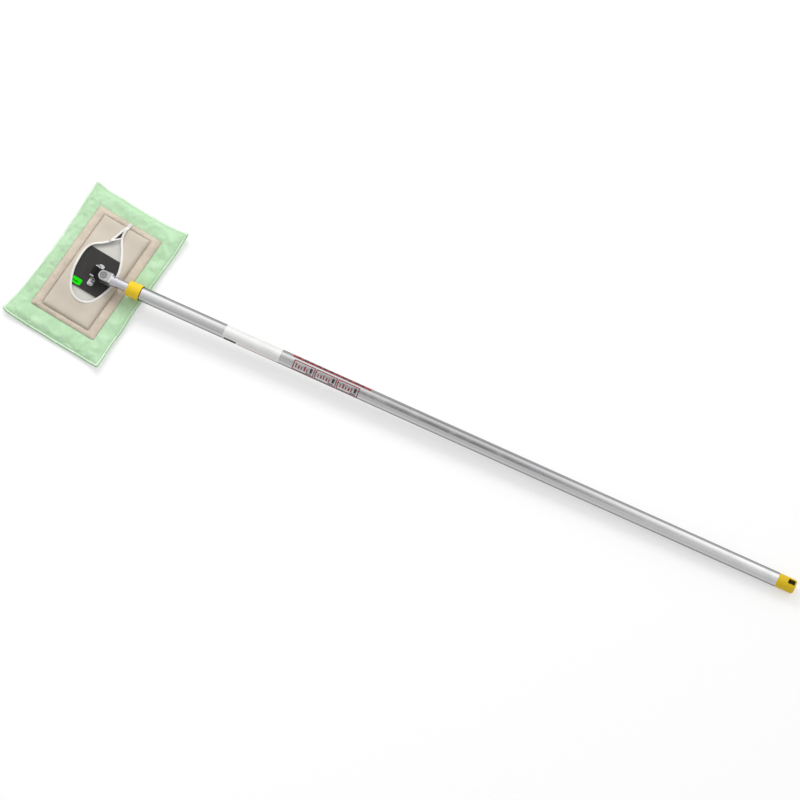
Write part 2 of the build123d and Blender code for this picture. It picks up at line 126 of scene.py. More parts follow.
class MopSoftSettings(bpy.types.PropertyGroup):
    """Sizes and colours of the sewn pieces."""

    cell: size("Cloth cell", "Mesh size of the backing cloth", 2.6)
    overhang: size("Rim overhang", "How far the wiping layer shows past the backing layer", 1.8)
    stitch_inset: size("Rim stitch inset", "From the backing's edge to its stitched line", 2.2)
    draw: sizes(
        "Drawn-in sides",
        "How far the -X, +X, -Y and +Y sides are drawn in between their corners",
        (2.6, -2.0, 6.0, 1.8),
    )
    corner_lift: sizes(
        "Corner lift", "Height of the corners off the floor: -X-Y, -X+Y, +X+Y, +X-Y", (3.0, 7.5, 4.5, 6.0)
    )
    side_lift: sizes("Side lift", "Height of the +X and +Y sides off the floor", (1.4, 5.5))
    swell: share("Swell", "Extra cloth between the seams, which puckers", 0.03)
    border_swell: share("Border swell", "Extra cloth in the padded border", 0.02)
    border_reach: sizes(
        "Border reach",
        "How far the border spreads past its seam line: -X, +X, -Y and +Y",
        (1.0, 0.0, 4.5, 3.0),
    )
    seam_reach: sizes(
        "Seam reach",
        "How far the panel's seam spreads past its plain outline: -X, +X, -Y and +Y",
        (0.0, -0.5, 1.3, -0.8),
    )
    frames: IntProperty(name="Cloth frames", description="Length of the cloth simulation", default=20, min=2)
    binding_width: size("Binding width", "Width of the white edge round the opening", 4.3)
    cloth: colour("Cloth", "Pile of the cleaning cloth", 189, 221, 185)
    cloth_shade: colour("Cloth shade", "Pile of the cleaning cloth where it is pressed down", 173, 209, 168)
    # The rim is near white: partly its own lighter colour, partly painted highlight where its top catches the
    # light.
    rim: colour("Rim", "Sewn edge of the backing layer", 243, 254, 240)
    border: colour("Border", "Padded border", 210, 197, 181)
    panel: colour("Panel", "Stretch panel", 203, 194, 180)
    tape: colour("Tape", "Binding and strap", 240, 238, 234)
    thread: colour("Thread", "Thread of the border's outer line", 198, 178, 161)
    # A real thread, made dark to paint the shade of the groove it lies in.
    seam: colour("Seam thread", "Thread of the panel's seam", 136, 116, 104)


class MopHardSettings(bpy.types.PropertyGroup):
    """Colours of the rigid pieces."""

    plate: colour("Base plate", "White moulded plate", 204, 202, 196)
    black: colour("Centre plate", "Black moulded plate", 46, 45, 44)
    knuckle: colour("Knuckle", "Black moulded joint", 15, 15, 15)
    label: colour("Label", "Green film on the centre plate", 26, 222, 10)
    mark: colour("Label marks", "Plain dark marks on the green film", 6, 60, 8)
    chrome: colour("Brackets", "Bright plated steel", 180, 179, 181)
    screw: colour("Screws", "Plain steel", 108, 107, 108)
    pivot: colour("Pivot screw", "Dull plated steel", 134, 133, 135)
    cast: colour("Fork", "Cast aluminium", 167, 167, 167)
    neck: colour("Neck", "Satin aluminium", 192, 191, 197)
    pole: colour("Pole", "Anodised aluminium", 194, 194, 195)
    yellow: colour("Collar", "Yellow moulded plastic", 231, 195, 2)
    # The cap is the collar's yellow made darker: painted shade, as the cap lies in lower light.
    cap: colour("Cap", "Yellow moulded plastic made darker as painted shade", 214, 181, 12)


class MopPrintSettings(bpy.types.PropertyGroup):
    """Places of the film label and the printed band, from the pivot screw along the pole."""

    film_start: size("Film start", "Start of the film label", 234.5)
    film_end: size("Film end", "End of the film label", 342)
    band_start: size("Band start", "Start of the printed band", 367.5)
    band_end: size("Band end", "End of the printed band", 493.5)
    film: colour("Film", "Milky film label", 223, 223, 221)
    ink: colour("Ink", "Printed lines", 126, 22, 34)
    mark: colour("Marks", "Printed bars", 34, 20, 24)


class MopStageSettings(bpy.types.PropertyGroup):
    """Floor, light and camera."""

    floor: colour("Floor", "Paper floor", 254, 254, 254)
    azimuth: angle("Camera azimuth", "Direction of the camera round the mop", 122.2)
    elevation: angle("Camera elevation", "Height of the camera above the horizon", 71.0)
    distance: size("Camera distance", "From the camera to the point that it turns about", 5500)
    lens: FloatProperty(
        name="Lens", description="Focal length on a 36 mm sensor, in millimetres", default=143.55
    )
    veil: share("Veil", "How much of the plain white ground shows through the shadows", 0.42)
    sky: share("Sky", "Strength of the soft light all round", 0.66)
    gleam: share("Gleam", "How much brighter the light all round shows in metal", 0.63)
    key: FloatProperty(
        name="Key light", description="Power of the long soft lamp", default=62.0, unit="POWER"
    )
    key_turn: angle("Key turn", "How far the lamp leans from overhead to the far side of the pole", 42)


class Field:
    """A socket of a node tree, with arithmetic that adds Math nodes."""

    def __init__(self, paint, socket):
        self.paint = paint
        self.socket = socket

    def __add__(self, other):
        return self.paint.math("ADD", self, other)

    def __sub__(self, other):
        return self.paint.math("SUBTRACT", self, other)

    def __rsub__(self, other):
        return self.paint.math("SUBTRACT", other, self)

    def __mul__(self, other):
        return self.paint.math("MULTIPLY", self, other)

    def __lt__(self, other):
        return self.paint.math("LESS_THAN", self, other)

    def __gt__(self, other):
        return self.paint.math("GREATER_THAN", self, other)

    def __abs__(self):
        return self.paint.math("ABSOLUTE", self, 0)

    __radd__ = __add__
    __rmul__ = __mul__


def rgba(value):
    """Colour as a colour socket takes it; a field passes as it is."""
    return value if isinstance(value, Field) else (*value, 1.0)


class Paint:
    """A node tree that is written as expressions."""

    def __init__(self, tree):
        self.tree = tree
        tree.nodes.clear()

    def add(self, kind, settings=(), sockets=(), output=0):
        """Adds a node: its settings first, then the values or links of its sockets."""
        node = self.tree.nodes.new("ShaderNode" + kind)
        for key, value in dict(settings).items():
            if key == "stops":
                self.set_stops(node.color_ramp, value)
            else:
                setattr(node, key, value)
        for key, value in dict(sockets).items():
            if isinstance(value, Field):
                self.tree.links.new(value.socket, node.inputs[key])
            else:
                node.inputs[key].default_value = value
        return Field(self, node.outputs[output]) if len(node.outputs) else node

    @staticmethod
    def set_stops(ramp, stops):
        """Sets the grey stops of a ramp: place and value."""
        while len(ramp.elements) < len(stops):
            ramp.elements.new(0.5)
        for element, (place, value) in zip(ramp.elements, stops):
            element.position = place
            element.color = (value, value, value, 1)

    def math(self, operation, first, second):
        return self.add("Math", {"operation": operation}, {0: first, 1: second})

    def clamp(self, value):
        return self.add("Clamp", (), {"Value": value})

    def span(self, value, low, high, start=0.0, end=1.0):
        """Smooth step of a value between two limits."""
        return self.add(
            "MapRange",
            {"interpolation_type": "SMOOTHSTEP"},
            {"Value": value, "From Min": low, "From Max": high, "To Min": start, "To Max": end},
        )

    def place(self):
        """Point in the mop's own frame, in metres."""
        return self.add("TexCoord", output=3)

    def dot(self, vector, other):
        sockets = {0: vector, 1: tuple(other)}
        return self.add("VectorMath", {"operation": "DOT_PRODUCT"}, sockets, output=1)

    def move(self, vector, offset):
        return self.add("VectorMath", {"operation": "SUBTRACT"}, {0: vector, 1: tuple(offset)})

    def stretch(self, vector, scale):
        return self.add("VectorMath", {"operation": "MULTIPLY"}, {0: vector, 1: scale})

    def join(self, x, y, z):
        return self.add("CombineXYZ", (), {0: x, 1: y, 2: z})

    def noise(self, vector, scale, detail=2.0, rough=0.5):
        sockets = {"Vector": vector, "Scale": scale, "Detail": detail, "Roughness": rough}
        return self.add("TexNoise", (), sockets)

    def cells(self, vector, scale):
        return self.add("TexVoronoi", {"feature": "F1"}, {"Vector": vector, "Scale": scale})

    def ridges(self, vector, scale, distortion, direction):
        settings = {"wave_type": "BANDS", "bands_direction": direction, "wave_profile": "SIN"}
        sockets = {"Vector": vector, "Scale": scale, "Distortion": distortion}
        return self.add("TexWave", settings, sockets, output=1)

    def mix(self, factor, first, second):
        """Colour between two colours."""
        sockets = {0: factor, 6: rgba(first), 7: rgba(second)}
        return self.add("Mix", {"data_type": "RGBA"}, sockets, output=2)

    def bump(self, height, strength, distance):
        return self.add("Bump", (), {"Height": height, "Strength": strength, "Distance": distance})


def new_finish(name):
    """Adds a material; returns it with its empty node tree."""
    material = bpy.data.materials.new(name)
    material.use_nodes = True
    return material, Paint(material.node_tree)


def close_finish(paint, **sockets):
    """Ends a finish in one surface shader; sockets are named in lower case with underscores."""
    named = {key.replace("_", " ").title().replace("Ior", "IOR"): value for key, value in sockets.items()}
    named["Base Color"] = rgba(named["Base Color"])
    shader = paint.add("BsdfPrincipled", (), named)
    paint.add("OutputMaterial", (), {"Surface": shader})


def cloth_finish(name, light, shade, weave=850.0):
    """Soft brushed pile with pressed and fluffed patches."""
    material, paint = new_finish(name)
    place = paint.place()
    pile = paint.noise(place, weave, 3.0, 0.65)
    loops = paint.cells(place, weave * 0.62)
    patches = paint.noise(place, 28.0, 3.0, 0.55)
    strokes = paint.noise(paint.stretch(place, (1.0, 2.6, 1.0)), 95.0)
    pressed = paint.span(patches * 0.7 + strokes * 0.25 + pile * 0.22, 0.4, 0.8)
    height = pile * 0.6 + loops * 0.5 + strokes * 0.5
    close_finish(
        paint,
        base_color=paint.mix(pressed, light, shade),
        roughness=0.86 + pile * 0.12,
        sheen_weight=0.25,
        sheen_roughness=0.5,
        specular_IOR_level=0.2,
        normal=paint.bump(height, 0.26, 0.0006),
    )
    return material


def knit_finish(name, tint, shade, scale, strength, grain):
    """Fine knit in two directions with faint colour drift."""
    material, paint = new_finish(name)
    place = paint.place()
    wales = paint.ridges(place, scale, 1.2, "X")
    courses = paint.ridges(place, scale * 0.8, 1.2, "Y")
    fluff = paint.noise(place, grain, 3.0, 0.6)
    drift = paint.noise(place, 24.0, 3.0, 0.55)
    worn = paint.span(drift * 0.75 + fluff * 0.25, 0.4, 0.66)
    height = wales * courses * 0.8 + fluff * 0.5
    close_finish(
        paint,
        base_color=paint.mix(worn, tint, shade),
        roughness=0.78 + fluff * 0.14,
        sheen_weight=0.15,
        sheen_roughness=0.45,
        specular_IOR_level=0.25,
        normal=paint.bump(height, strength, 0.0005),
    )
    return material


def moulded_finish(name, tint, worn, rough, grain_scale, grain, gloss, painted_shade=None):
    """Moulded plastic with a fine grain, flow marks and rubbed places, and painted shade where a mask is
    given.
    """
    material, paint = new_finish(name)
    place = paint.place()
    speck = paint.noise(place, grain_scale, 2.0, 0.6)
    flow = paint.noise(paint.stretch(place, (1.0, 3.0, 1.0)), 46.0, 3.0, 0.6)
    rubbed = paint.span(flow * 0.7 + speck * 0.3, 0.52, 0.78)
    base = paint.mix(rubbed, tint, worn)
    # Painted shade: where the mask is 1, the colour goes over to a dark copy of the tint.
    if painted_shade:
        base = paint.mix(painted_shade(paint) * (0.8 + speck * 0.2), base, shaded(tint, 0.12))
    close_finish(
        paint,
        base_color=base,
        roughness=rough + flow * 0.16 - rubbed * 0.06,
        specular_IOR_level=gloss,
        normal=paint.bump(speck, grain, 0.0003),
    )
    return material


def label_finish(name, tint, worn, mark):
    """Printed film: a row of plain uneven dashes along the middle of the label."""
    material, paint = new_finish(name)
    low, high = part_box("plate_label")
    place = paint.move(paint.place(), (low + high) / 2)
    across = paint.dot(place, (1.0, 0.0, 0.0))
    along = paint.dot(place, (0.0, 1.0, 0.0))
    row = paint.span(abs(across - 0.0008), 0.0013, 0.0019, 1.0, 0.0)
    uneven = paint.noise(paint.join(across * 200.0, along * 620.0, 0.0), 1.0, 1.0)
    dashes = paint.span(uneven, 0.46, 0.52)
    ends = paint.span(abs(along + 0.002), 0.0058, 0.0066, 1.0, 0.0)
    speck = paint.noise(place, 420.0, 2.0, 0.6)
    film = paint.mix(paint.span(speck, 0.5, 0.75), tint, worn)
    close_finish(
        paint,
        base_color=paint.mix(row * dashes * ends, film, mark),
        roughness=0.45 + speck * 0.16,
        specular_IOR_level=0.05,
        normal=paint.bump(speck, 0.08, 0.0003),
    )
    return material


def smeared(paint, place, grain_scale):
    """Fine grain, broad smears and the dull patches of a metal."""
    speck = paint.noise(place, grain_scale, 3.0, 0.6)
    smear = paint.noise(place, 60.0, 3.0, 0.6)
    return speck, smear, paint.span(smear * 0.8 + speck * 0.2, 0.45, 0.75)


def metal_finish(name, tint, dark, rough, grain_scale, grain):
    """Metal with a fine grain, smears and small nicks; dark is the share of its colour left in them."""
    material, paint = new_finish(name)
    place = paint.place()
    speck, smear, dull = smeared(paint, place, grain_scale)
    nicks = paint.span(paint.cells(place, 240.0), 0.02, 0.09, 1.0, 0.0)
    close_finish(
        paint,
        base_color=paint.mix(dull * 0.8 + nicks * 0.2, tint, shaded(tint, dark)),
        metallic=1.0,
        roughness=rough + smear * 0.16 + speck * 0.06,
        normal=paint.bump(speck, grain, 0.0002),
    )
    return material


def listed(rows, name):
    """Row of the record with this name."""
    return next(row for row in rows if row["name"] == name)


class Handle:
    """The handle's own axes at rest: along the pole, across it and up from it."""

    def __init__(self):
        joint = listed(RECORD["behaviour"]["joints"], "handle_swing")
        mount = listed(RECORD["mounts"], "pole")
        self.start = Vector(joint["pos_m"])
        self.along = Vector(mount["axis"]).normalized()
        self.up = Vector(joint["axis"]).normalized()
        self.side = self.along.cross(self.up).normalized()
        self.radius = mount["dims"]["r_mm"] * MM
        middle = (Vector(mount["pos_m"]) - self.start).dot(self.along)
        self.collar_end = middle - mount["dims"]["length_mm"] * MM / 2

    def point(self, distance, turn, radius):
        """Point on the pole; turn is measured from straight up towards the +X side, in radians."""
        out = self.up * math.cos(turn) + self.side * math.sin(turn)
        return self.start + self.along * distance + out * radius


HANDLE = Handle()

# Half the length and half the width of the hang slot, with a hair to spare.
SLOT_REACH = (0.0061, 0.0046)


def inside_slot(paint):
    """1 on the walls of the hang slot, where shade is painted in dark."""
    mount = listed(RECORD["mounts"], "hang_slot")
    place = paint.move(paint.place(), mount["pos_m"])
    across = HANDLE.along.cross(Vector(mount["axis"]))
    within_length = abs(paint.dot(place, HANDLE.along)) < SLOT_REACH[0]
    within_width = abs(paint.dot(place, across)) < SLOT_REACH[1]
    return within_length * within_width


def pole_finish(name, tint, edge):
    """Satin aluminium, drawn lengthwise, with smears and handling marks; edge is its glint side-on."""
    material, paint = new_finish(name)
    place = paint.move(paint.place(), HANDLE.start)
    along, across, upward = (paint.dot(place, axis) for axis in (HANDLE.along, HANDLE.side, HANDLE.up))
    lines = paint.noise(paint.join(along * 3.0, across * 900.0, upward * 900.0), 1.0, 3.0, 0.65)
    broad = paint.noise(paint.join(along * 4.0, across * 60.0, upward * 60.0), 1.0, 3.0, 0.6)
    smudge = paint.span(paint.noise(place, 26.0, 4.0, 0.65), 0.5, 0.72)
    dull = paint.clamp(lines * 0.35 + broad * 0.35 + smudge * 0.2 - 0.1)
    close_finish(
        paint,
        base_color=paint.mix(dull, tint, shaded(tint, 0.84)),
        metallic=1.0,
        roughness=0.13 + lines * 0.05 + smudge * 0.05,
        specular_tint=(edge, edge, edge, 1.0),
        normal=paint.bump(lines, 0.12, 0.0001),
    )
    return material


def fork_finish(name, tint, turned):
    """Blasted casting, with a stem that is turned bright."""
    material, paint = new_finish(name)
    place = paint.place()
    along = paint.dot(paint.move(place, HANDLE.start), HANDLE.along)
    stem = paint.span(along, 0.0115, 0.0145)
    speck, smear, dull = smeared(paint, place, 1200.0)
    cast = paint.mix(dull, tint, shaded(tint, 0.8))
    close_finish(
        paint,
        base_color=paint.mix(stem, cast, turned),
        metallic=1.0,
        roughness=0.4 - stem * 0.2 + smear * 0.1,
        normal=paint.bump(speck * (1 - stem * 0.8), 0.45, 0.0002),
    )
    return material


def film_finish(name, tint):
    """Milky film with faint streaks and a soft gloss."""
    material, paint = new_finish(name)
    place = paint.place()
    streak = paint.noise(paint.stretch(place, (3.0, 0.6, 3.0)), 60.0, 3.0, 0.6)
    bubble = paint.span(paint.cells(place, 210.0), 0.05, 0.16, 1.0, 0.0)
    close_finish(
        paint,
        base_color=paint.mix(paint.span(streak, 0.4, 0.7), tint, shaded(tint, 0.9)),
        roughness=0.32 + streak * 0.18,
        metallic=0.3,
        specular_IOR_level=0.35,
        coat_weight=0.12,
        coat_roughness=0.2,
        normal=paint.bump(streak * 0.6 + bubble * 0.5, 0.15, 0.0002),
    )
    return material


def ink_finish(name, tint):
    """Printed ink, thin and uneven."""
    material, paint = new_finish(name)
    thin = paint.span(paint.noise(paint.place(), 320.0, 3.0, 0.6), 0.42, 0.7)
    close_finish(
        paint,
        base_color=paint.mix(thin, tint, shaded(tint, 1.5, 0.015)),
        roughness=0.42 + thin * 0.15,
        normal=paint.bump(thin, 0.1, 0.0001),
    )
    return material


def fill_mesh(mesh, points, faces):
    """Gives a mesh its points, in millimetres, and its smooth faces."""
    mesh.clear_geometry()
    mesh.from_pydata((np.asarray(points, float) * MM).tolist(), [], faces)
    mesh.update()
    mesh.polygons.foreach_set("use_smooth", [True] * len(mesh.polygons))


def face_outwards(mesh):
    """Turns every face of a closed mesh outwards."""
    shape = bmesh.new()
    shape.from_mesh(mesh)
    bmesh.ops.recalc_face_normals(shape, faces=shape.faces)
    shape.to_mesh(mesh)
    shape.free()


def new_piece(name, shape, finish, body, closed=True):
    """Adds a piece that rides on a body; its shape is points in millimetres and faces."""
    mesh = bpy.data.meshes.new(name)
    fill_mesh(mesh, *shape)
    if closed:
        face_outwards(mesh)
    mesh.materials.append(finish)
    piece = bpy.data.objects.new(name, mesh)
    bpy.context.scene.collection.objects.link(piece)
    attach(piece, body)
    return piece


def loop_faces(rows, columns, closed=True):
    """Faces between loops of points; the last loop meets the first, or both ends are capped."""
    faces = []
    for row in range(rows if closed else rows - 1):
        here = row * columns
        after = (row + 1) % rows * columns
        for column in range(columns):
            beside = (column + 1) % columns
            faces.append((here + column, here + beside, after + beside, after + column))
    if not closed:
        faces.append(tuple(reversed(range(columns))))
        faces.append(tuple(range((rows - 1) * columns, rows * columns)))
    return faces


def grid_faces(rows, columns):
    """Faces of an open grid."""
    corners = [row * columns + column for row in range(rows - 1) for column in range(columns - 1)]
    return [(a, a + columns, a + columns + 1, a + 1) for a in corners]


def rim_order(rows, columns):
    """Indices round the rim of a grid."""
    ring = list(range(columns))
    ring += [row * columns + columns - 1 for row in range(1, rows)]
    ring += [(rows - 1) * columns + column for column in range(columns - 2, -1, -1)]
    ring += [row * columns for row in range(rows - 2, 0, -1)]
    return ring


def slab_faces(rows, columns):
    """Faces of a closed slab: an upper grid, a lower grid after it and the rim between them."""
    lower = rows * columns
    upper_faces = grid_faces(rows, columns)
    faces = upper_faces + [tuple(lower + i for i in reversed(quad)) for quad in upper_faces]
    ring = rim_order(rows, columns)
    for here, there in zip(ring, ring[1:] + ring[:1]):
        faces.append((here, there, lower + there, lower + here))
    return faces


def grid_points(x, y, *levels):
    """Points of one grid, or of two that lie over each other."""
    return np.concatenate([np.stack([x, y, z], axis=-1).reshape(-1, 3) for z in levels])


def circle(sides):
    """Round section, as shares of its two half axes."""
    turns = [2 * math.pi * k / sides for k in range(sides)]
    return [(math.cos(turn), math.sin(turn)) for turn in turns]


def tube_mesh(path, section, closed=True):
    """Points and faces of a tube; each entry of the path is a centre and the half axes of its section."""
    points = []
    for row in path:
        centre, across, upward = (np.asarray(part) for part in row)
        points += [centre + across * a + upward * b for a, b in section]
    return points, loop_faces(len(path), len(section), closed)


def join_meshes(meshes):
    """Points and faces of several meshes as one."""
    points = []
    faces = []
    for more, quads in meshes:
        start = len(points)
        points += more
        faces += [tuple(start + i for i in quad) for quad in quads]
    return points, faces


def smooth_step(value, low, high):
    """Smooth step from 0 to 1 between two limits."""
    ratio = np.clip((value - low) / (high - low), 0, 1)
    return ratio * ratio * (3 - 2 * ratio)


def ripple(x, y, scale, seed):
    """Smooth drift between -1 and 1 over the head, with positions in millimetres."""
    flat = [noise.noise(Vector((a * scale, b * scale, seed))) for a, b in zip(np.ravel(x), np.ravel(y))]
    return np.reshape(flat, np.shape(x))


def even_points(line, count, closed):
    """Even points along a line; a closed one ends on its first point, which isn't repeated."""
    along = np.concatenate([[0], np.cumsum(np.linalg.norm(np.diff(line, axis=0), axis=1))])
    at = np.linspace(0, along[-1], count, endpoint=not closed)
    return np.stack([np.interp(at, along, line[:, k]) for k in range(line.shape[1])], axis=1)


def resample(points, step):
    """Even points round a closed line, an even number of them."""
    closed = np.vstack([points, points[:1]])
    length = np.linalg.norm(np.diff(closed, axis=0), axis=1).sum()
    return even_points(closed, 2 * round(length / step / 2), True)


def spline(controls, samples, closed=True):
    """Smooth line through control points, as even points."""
    controls = np.array(controls, float)
    count = len(controls)
    fine = []
    for index in range(count if closed else count - 1):
        around = range(index - 1, index + 3)
        picks = [k % count if closed else min(max(k, 0), count - 1) for k in around]
        a, b, c, d = controls[picks]
        for t in np.linspace(0, 1, 12, endpoint=False):
            bend = (2 * a - 5 * b + 4 * c - d) * t**2 + (3 * b - a - 3 * c + d) * t**3
            fine.append(b + 0.5 * ((c - a) * t + bend))
    fine.append(controls[0] if closed else controls[-1])
    return even_points(np.array(fine), samples, closed)


def headings(line, back=1):
    """Unit directions along a closed line, from the point that is back steps behind to the next one."""
    ahead = np.roll(line, -1, axis=0) - np.roll(line, back, axis=0)
    return ahead / np.linalg.norm(ahead, axis=1, keepdims=True)


def outward(line):
    """Outward normals of a closed flat line that runs anticlockwise."""
    ahead = headings(line)
    return np.column_stack([ahead[:, 1], -ahead[:, 0]])


def rounded_loop(half, radius, counts):
    """Points round a rounded rectangle; counts are the points along X, along Y and in a corner."""
    along_x, along_y, corner = counts
    arcs = []
    for quarter, signs in enumerate(((1, -1), (1, 1), (-1, 1), (-1, -1))):
        turns = np.radians(np.linspace(90 * quarter - 90, 90 * quarter, corner))
        middle = np.array(signs) * (np.asarray(half) - radius)
        arcs.append(middle + radius * np.column_stack([np.cos(turns), np.sin(turns)]))
    loop = []
    for arc, following, count in zip(arcs, arcs[1:] + arcs[:1], (along_y, along_x) * 2):
        loop += [arc, np.linspace(arc[-1], following[0], count, endpoint=False)[1:]]
    return np.concatenate(loop)


def spreading(points, reach, half):
    """Scale of flat points that moves the sides of a loop outwards by their reach: -X, +X, -Y and +Y."""
    return 1 + np.where(points < 0, reach[::2], reach[1::2]) / half


def spread(loop, reach, half):
    """Loop with its sides moved outwards by their reach."""
    return loop * spreading(loop, reach, half)


# How the cloth behaves while it swells.
CLOTH = {
    "quality": 6,
    "mass": 0.1,
    "tension_stiffness": 12,
    "compression_stiffness": 12,
    "shear_stiffness": 6,
    "bending_stiffness": 0.6,
    "use_pressure": True,
}


def swell_cloth(piece, held, growth, pressure, frames, cap):
    """Lets a piece swell and pucker between its sewn lines by a cloth simulation, and keeps the result."""
    mesh = piece.data
    start = np.array([v.co for v in mesh.vertices])
    group = piece.vertex_groups.new(name="sewn")
    for index, weight in enumerate(held):
        if weight > 0:
            group.add([index], float(weight), "REPLACE")
    modifier = piece.modifiers.new("swell", "CLOTH")
    settings = modifier.settings
    settings.vertex_group_mass = group.name
    for key, value in CLOTH.items():
        setattr(settings, key, value)
    settings.shrink_min = -growth
    settings.uniform_pressure_force = pressure
    settings.effector_weights.gravity = 0
    modifier.collision_settings.use_collision = False
    modifier.point_cache.frame_start = 1
    modifier.point_cache.frame_end = frames
    scene = bpy.context.scene
    for number in range(1, frames + 1):
        scene.frame_set(number)
    swollen = piece.evaluated_get(bpy.context.evaluated_depsgraph_get())
    move = np.array([v.co for v in swollen.data.vertices]) - start
    length = np.linalg.norm(move, axis=1, keepdims=True)
    move *= np.minimum(1, cap / np.maximum(length, TINY))
    piece.modifiers.remove(modifier)
    piece.vertex_groups.remove(group)
    mesh.vertices.foreach_set("co", np.ravel(start + move))
    mesh.update()
    scene.frame_set(1)


def half_size(node):
    """Half the length and half the width of a node, in millimetres."""
    low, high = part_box(node)
    return np.array([(high.x - low.x) / 2 / MM, (high.y - low.y) / 2 / MM])


def level(node, top=True):
    """Height of a node's top or bottom, in millimetres."""
    low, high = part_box(node)
    return (high.z if top else low.z) / MM


def in_mm(lengths):
    """Lengths of a property, in millimetres."""
    return np.array(lengths) / MM


# Grid lines at the rim of a cloth layer, by their distance from its edge, and where the even ones begin.
RIM_LINES = np.array([0, 0.4, 1.0, 1.8, 2.8, 4.0, 5.4])
RIM_END = 7.6

# Each corner of the cloth: its signs along X and Y, its shift along X and Y, and how far its tip is blunted.
CORNERS = (
    (-1, -1, -1.5, 2.0, 0.5),
    (-1, 1, -1.0, -1.0, 0.0),
    (1, 1, 3.6, 0.6, 0.8),
    (1, -1, 1.2, -6.4, 4.0),
)

# How thick the stitched rim of the backing layer is, in millimetres.
WELT = 1.1

# Radius of a sewn edge, the rise and fall of its loops, and their spacing, in millimetres.
EDGE_RADIUS = 1.0
EDGE_LOOP = 0.1
EDGE_STEP = 1.6


def cloth_grid(half, cell):
    """Grid over a layer, closer at its rim."""
    lines = []
    for reach in half:
        rim = reach - RIM_LINES
        inner = reach - RIM_END
        middle = np.linspace(-inner, inner, round(2 * inner / cell) + 1)
        lines.append(np.concatenate([-rim, middle, rim[::-1]]))
    return np.meshgrid(*lines, indexing="ij")


def shape_cloth(x, y, half, soft):
    """Draws the sides in, pulls the corners out and lifts the rim; returns the moved points and the lift."""
    u = x / half[0]
    v = y / half[1]
    draw = in_mm(soft.draw)
    side_x = smooth_step(np.abs(u), 0.55, 1.0) * (1 - v * v)
    side_y = smooth_step(np.abs(v), 0.5, 1.0) * (1 - u * u)
    rim = smooth_step(np.maximum(np.abs(u), np.abs(v)), 0.74, 1.0)
    moved_x = x + np.where(u < 0, draw[0], -draw[1]) * side_x + rim * 1.1 * ripple(x, y, 0.035, 11.0)
    moved_y = y + np.where(v < 0, draw[2], -draw[3]) * side_y + rim * 1.1 * ripple(x, y, 0.035, 17.0)
    lift_x, lift_y = in_mm(soft.side_lift)
    lift = rim * np.clip(1.0 + 2.4 * ripple(x, y, 0.021, 3.0), 0, None)
    lift += lift_x * smooth_step(u, 0.86, 1.0) + lift_y * smooth_step(v, 0.8, 1.0) * (1 - 0.4 * u * u)
    for (sign_x, sign_y, shift_x, shift_y, blunt), height in zip(CORNERS, in_mm(soft.corner_lift)):
        near = (np.clip(sign_x * u, 0, 1) * np.clip(sign_y * v, 0, 1)) ** 5
        moved_x += near * shift_x - sign_x * blunt * near**5
        moved_y += near * shift_y - sign_y * blunt * near**5
        lift += near * height
    return moved_x, moved_y, lift


def rim_gap(x, y, half):
    """Distance from the rim of a flat layer."""
    return np.minimum(half[0] - np.abs(x), half[1] - np.abs(y))


def rim_thinning(gap):
    """How much thinner the wiping layer gets towards its rim."""
    return 1.6 * (1 - smooth_step(gap, 0, 9))


def edge_round(gap, radius, depth):
    """How far a rounded edge has dropped near the rim."""
    inside = np.clip(1 - gap / radius, 0, 1)
    return depth * (1 - np.sqrt(1 - inside * inside))


def make_sewn_edge(name, line, finish):
    """Round edge along a closed line, with the loops of its thread."""
    edge = resample(line, EDGE_STEP)
    path = []
    for index, (centre, direction) in enumerate(zip(edge, headings(edge))):
        radius = EDGE_RADIUS + EDGE_LOOP * (-1) ** index
        path.append((centre, np.cross(direction, UP) * radius, UP * radius))
    new_piece(name, tube_mesh(path, circle(8)), finish, "head")


def make_wiping_cloth(soft, finish, rim_finish):
    """Lower layer of pile and the overlocked edge round it."""
    half = half_size("wiping_cloth")
    x, y = cloth_grid(half, 5.0)
    moved_x, moved_y, lift = shape_cloth(x, y, half, soft)
    gap = rim_gap(x, y, half)
    fluff = 0.25 * ripple(x, y, 0.11, 29.0)
    upper = lift + level("wiping_cloth") - 0.3 - rim_thinning(gap) - edge_round(gap, 1.6, 0.8)
    lower = np.maximum(lift + edge_round(gap, 1.6, 0.5) + np.where(lift > 0.4, fluff, 0), 0)
    points = grid_points(moved_x, moved_y, upper, lower)
    piece = new_piece("wiping_cloth_pile", (points, slab_faces(*x.shape)), finish, "head")
    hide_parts("wiping_cloth")
    middle = points[: x.size] * 0.5 + points[x.size :] * 0.5
    make_sewn_edge("wiping_cloth_overlock", middle[rim_order(*x.shape)], rim_finish)


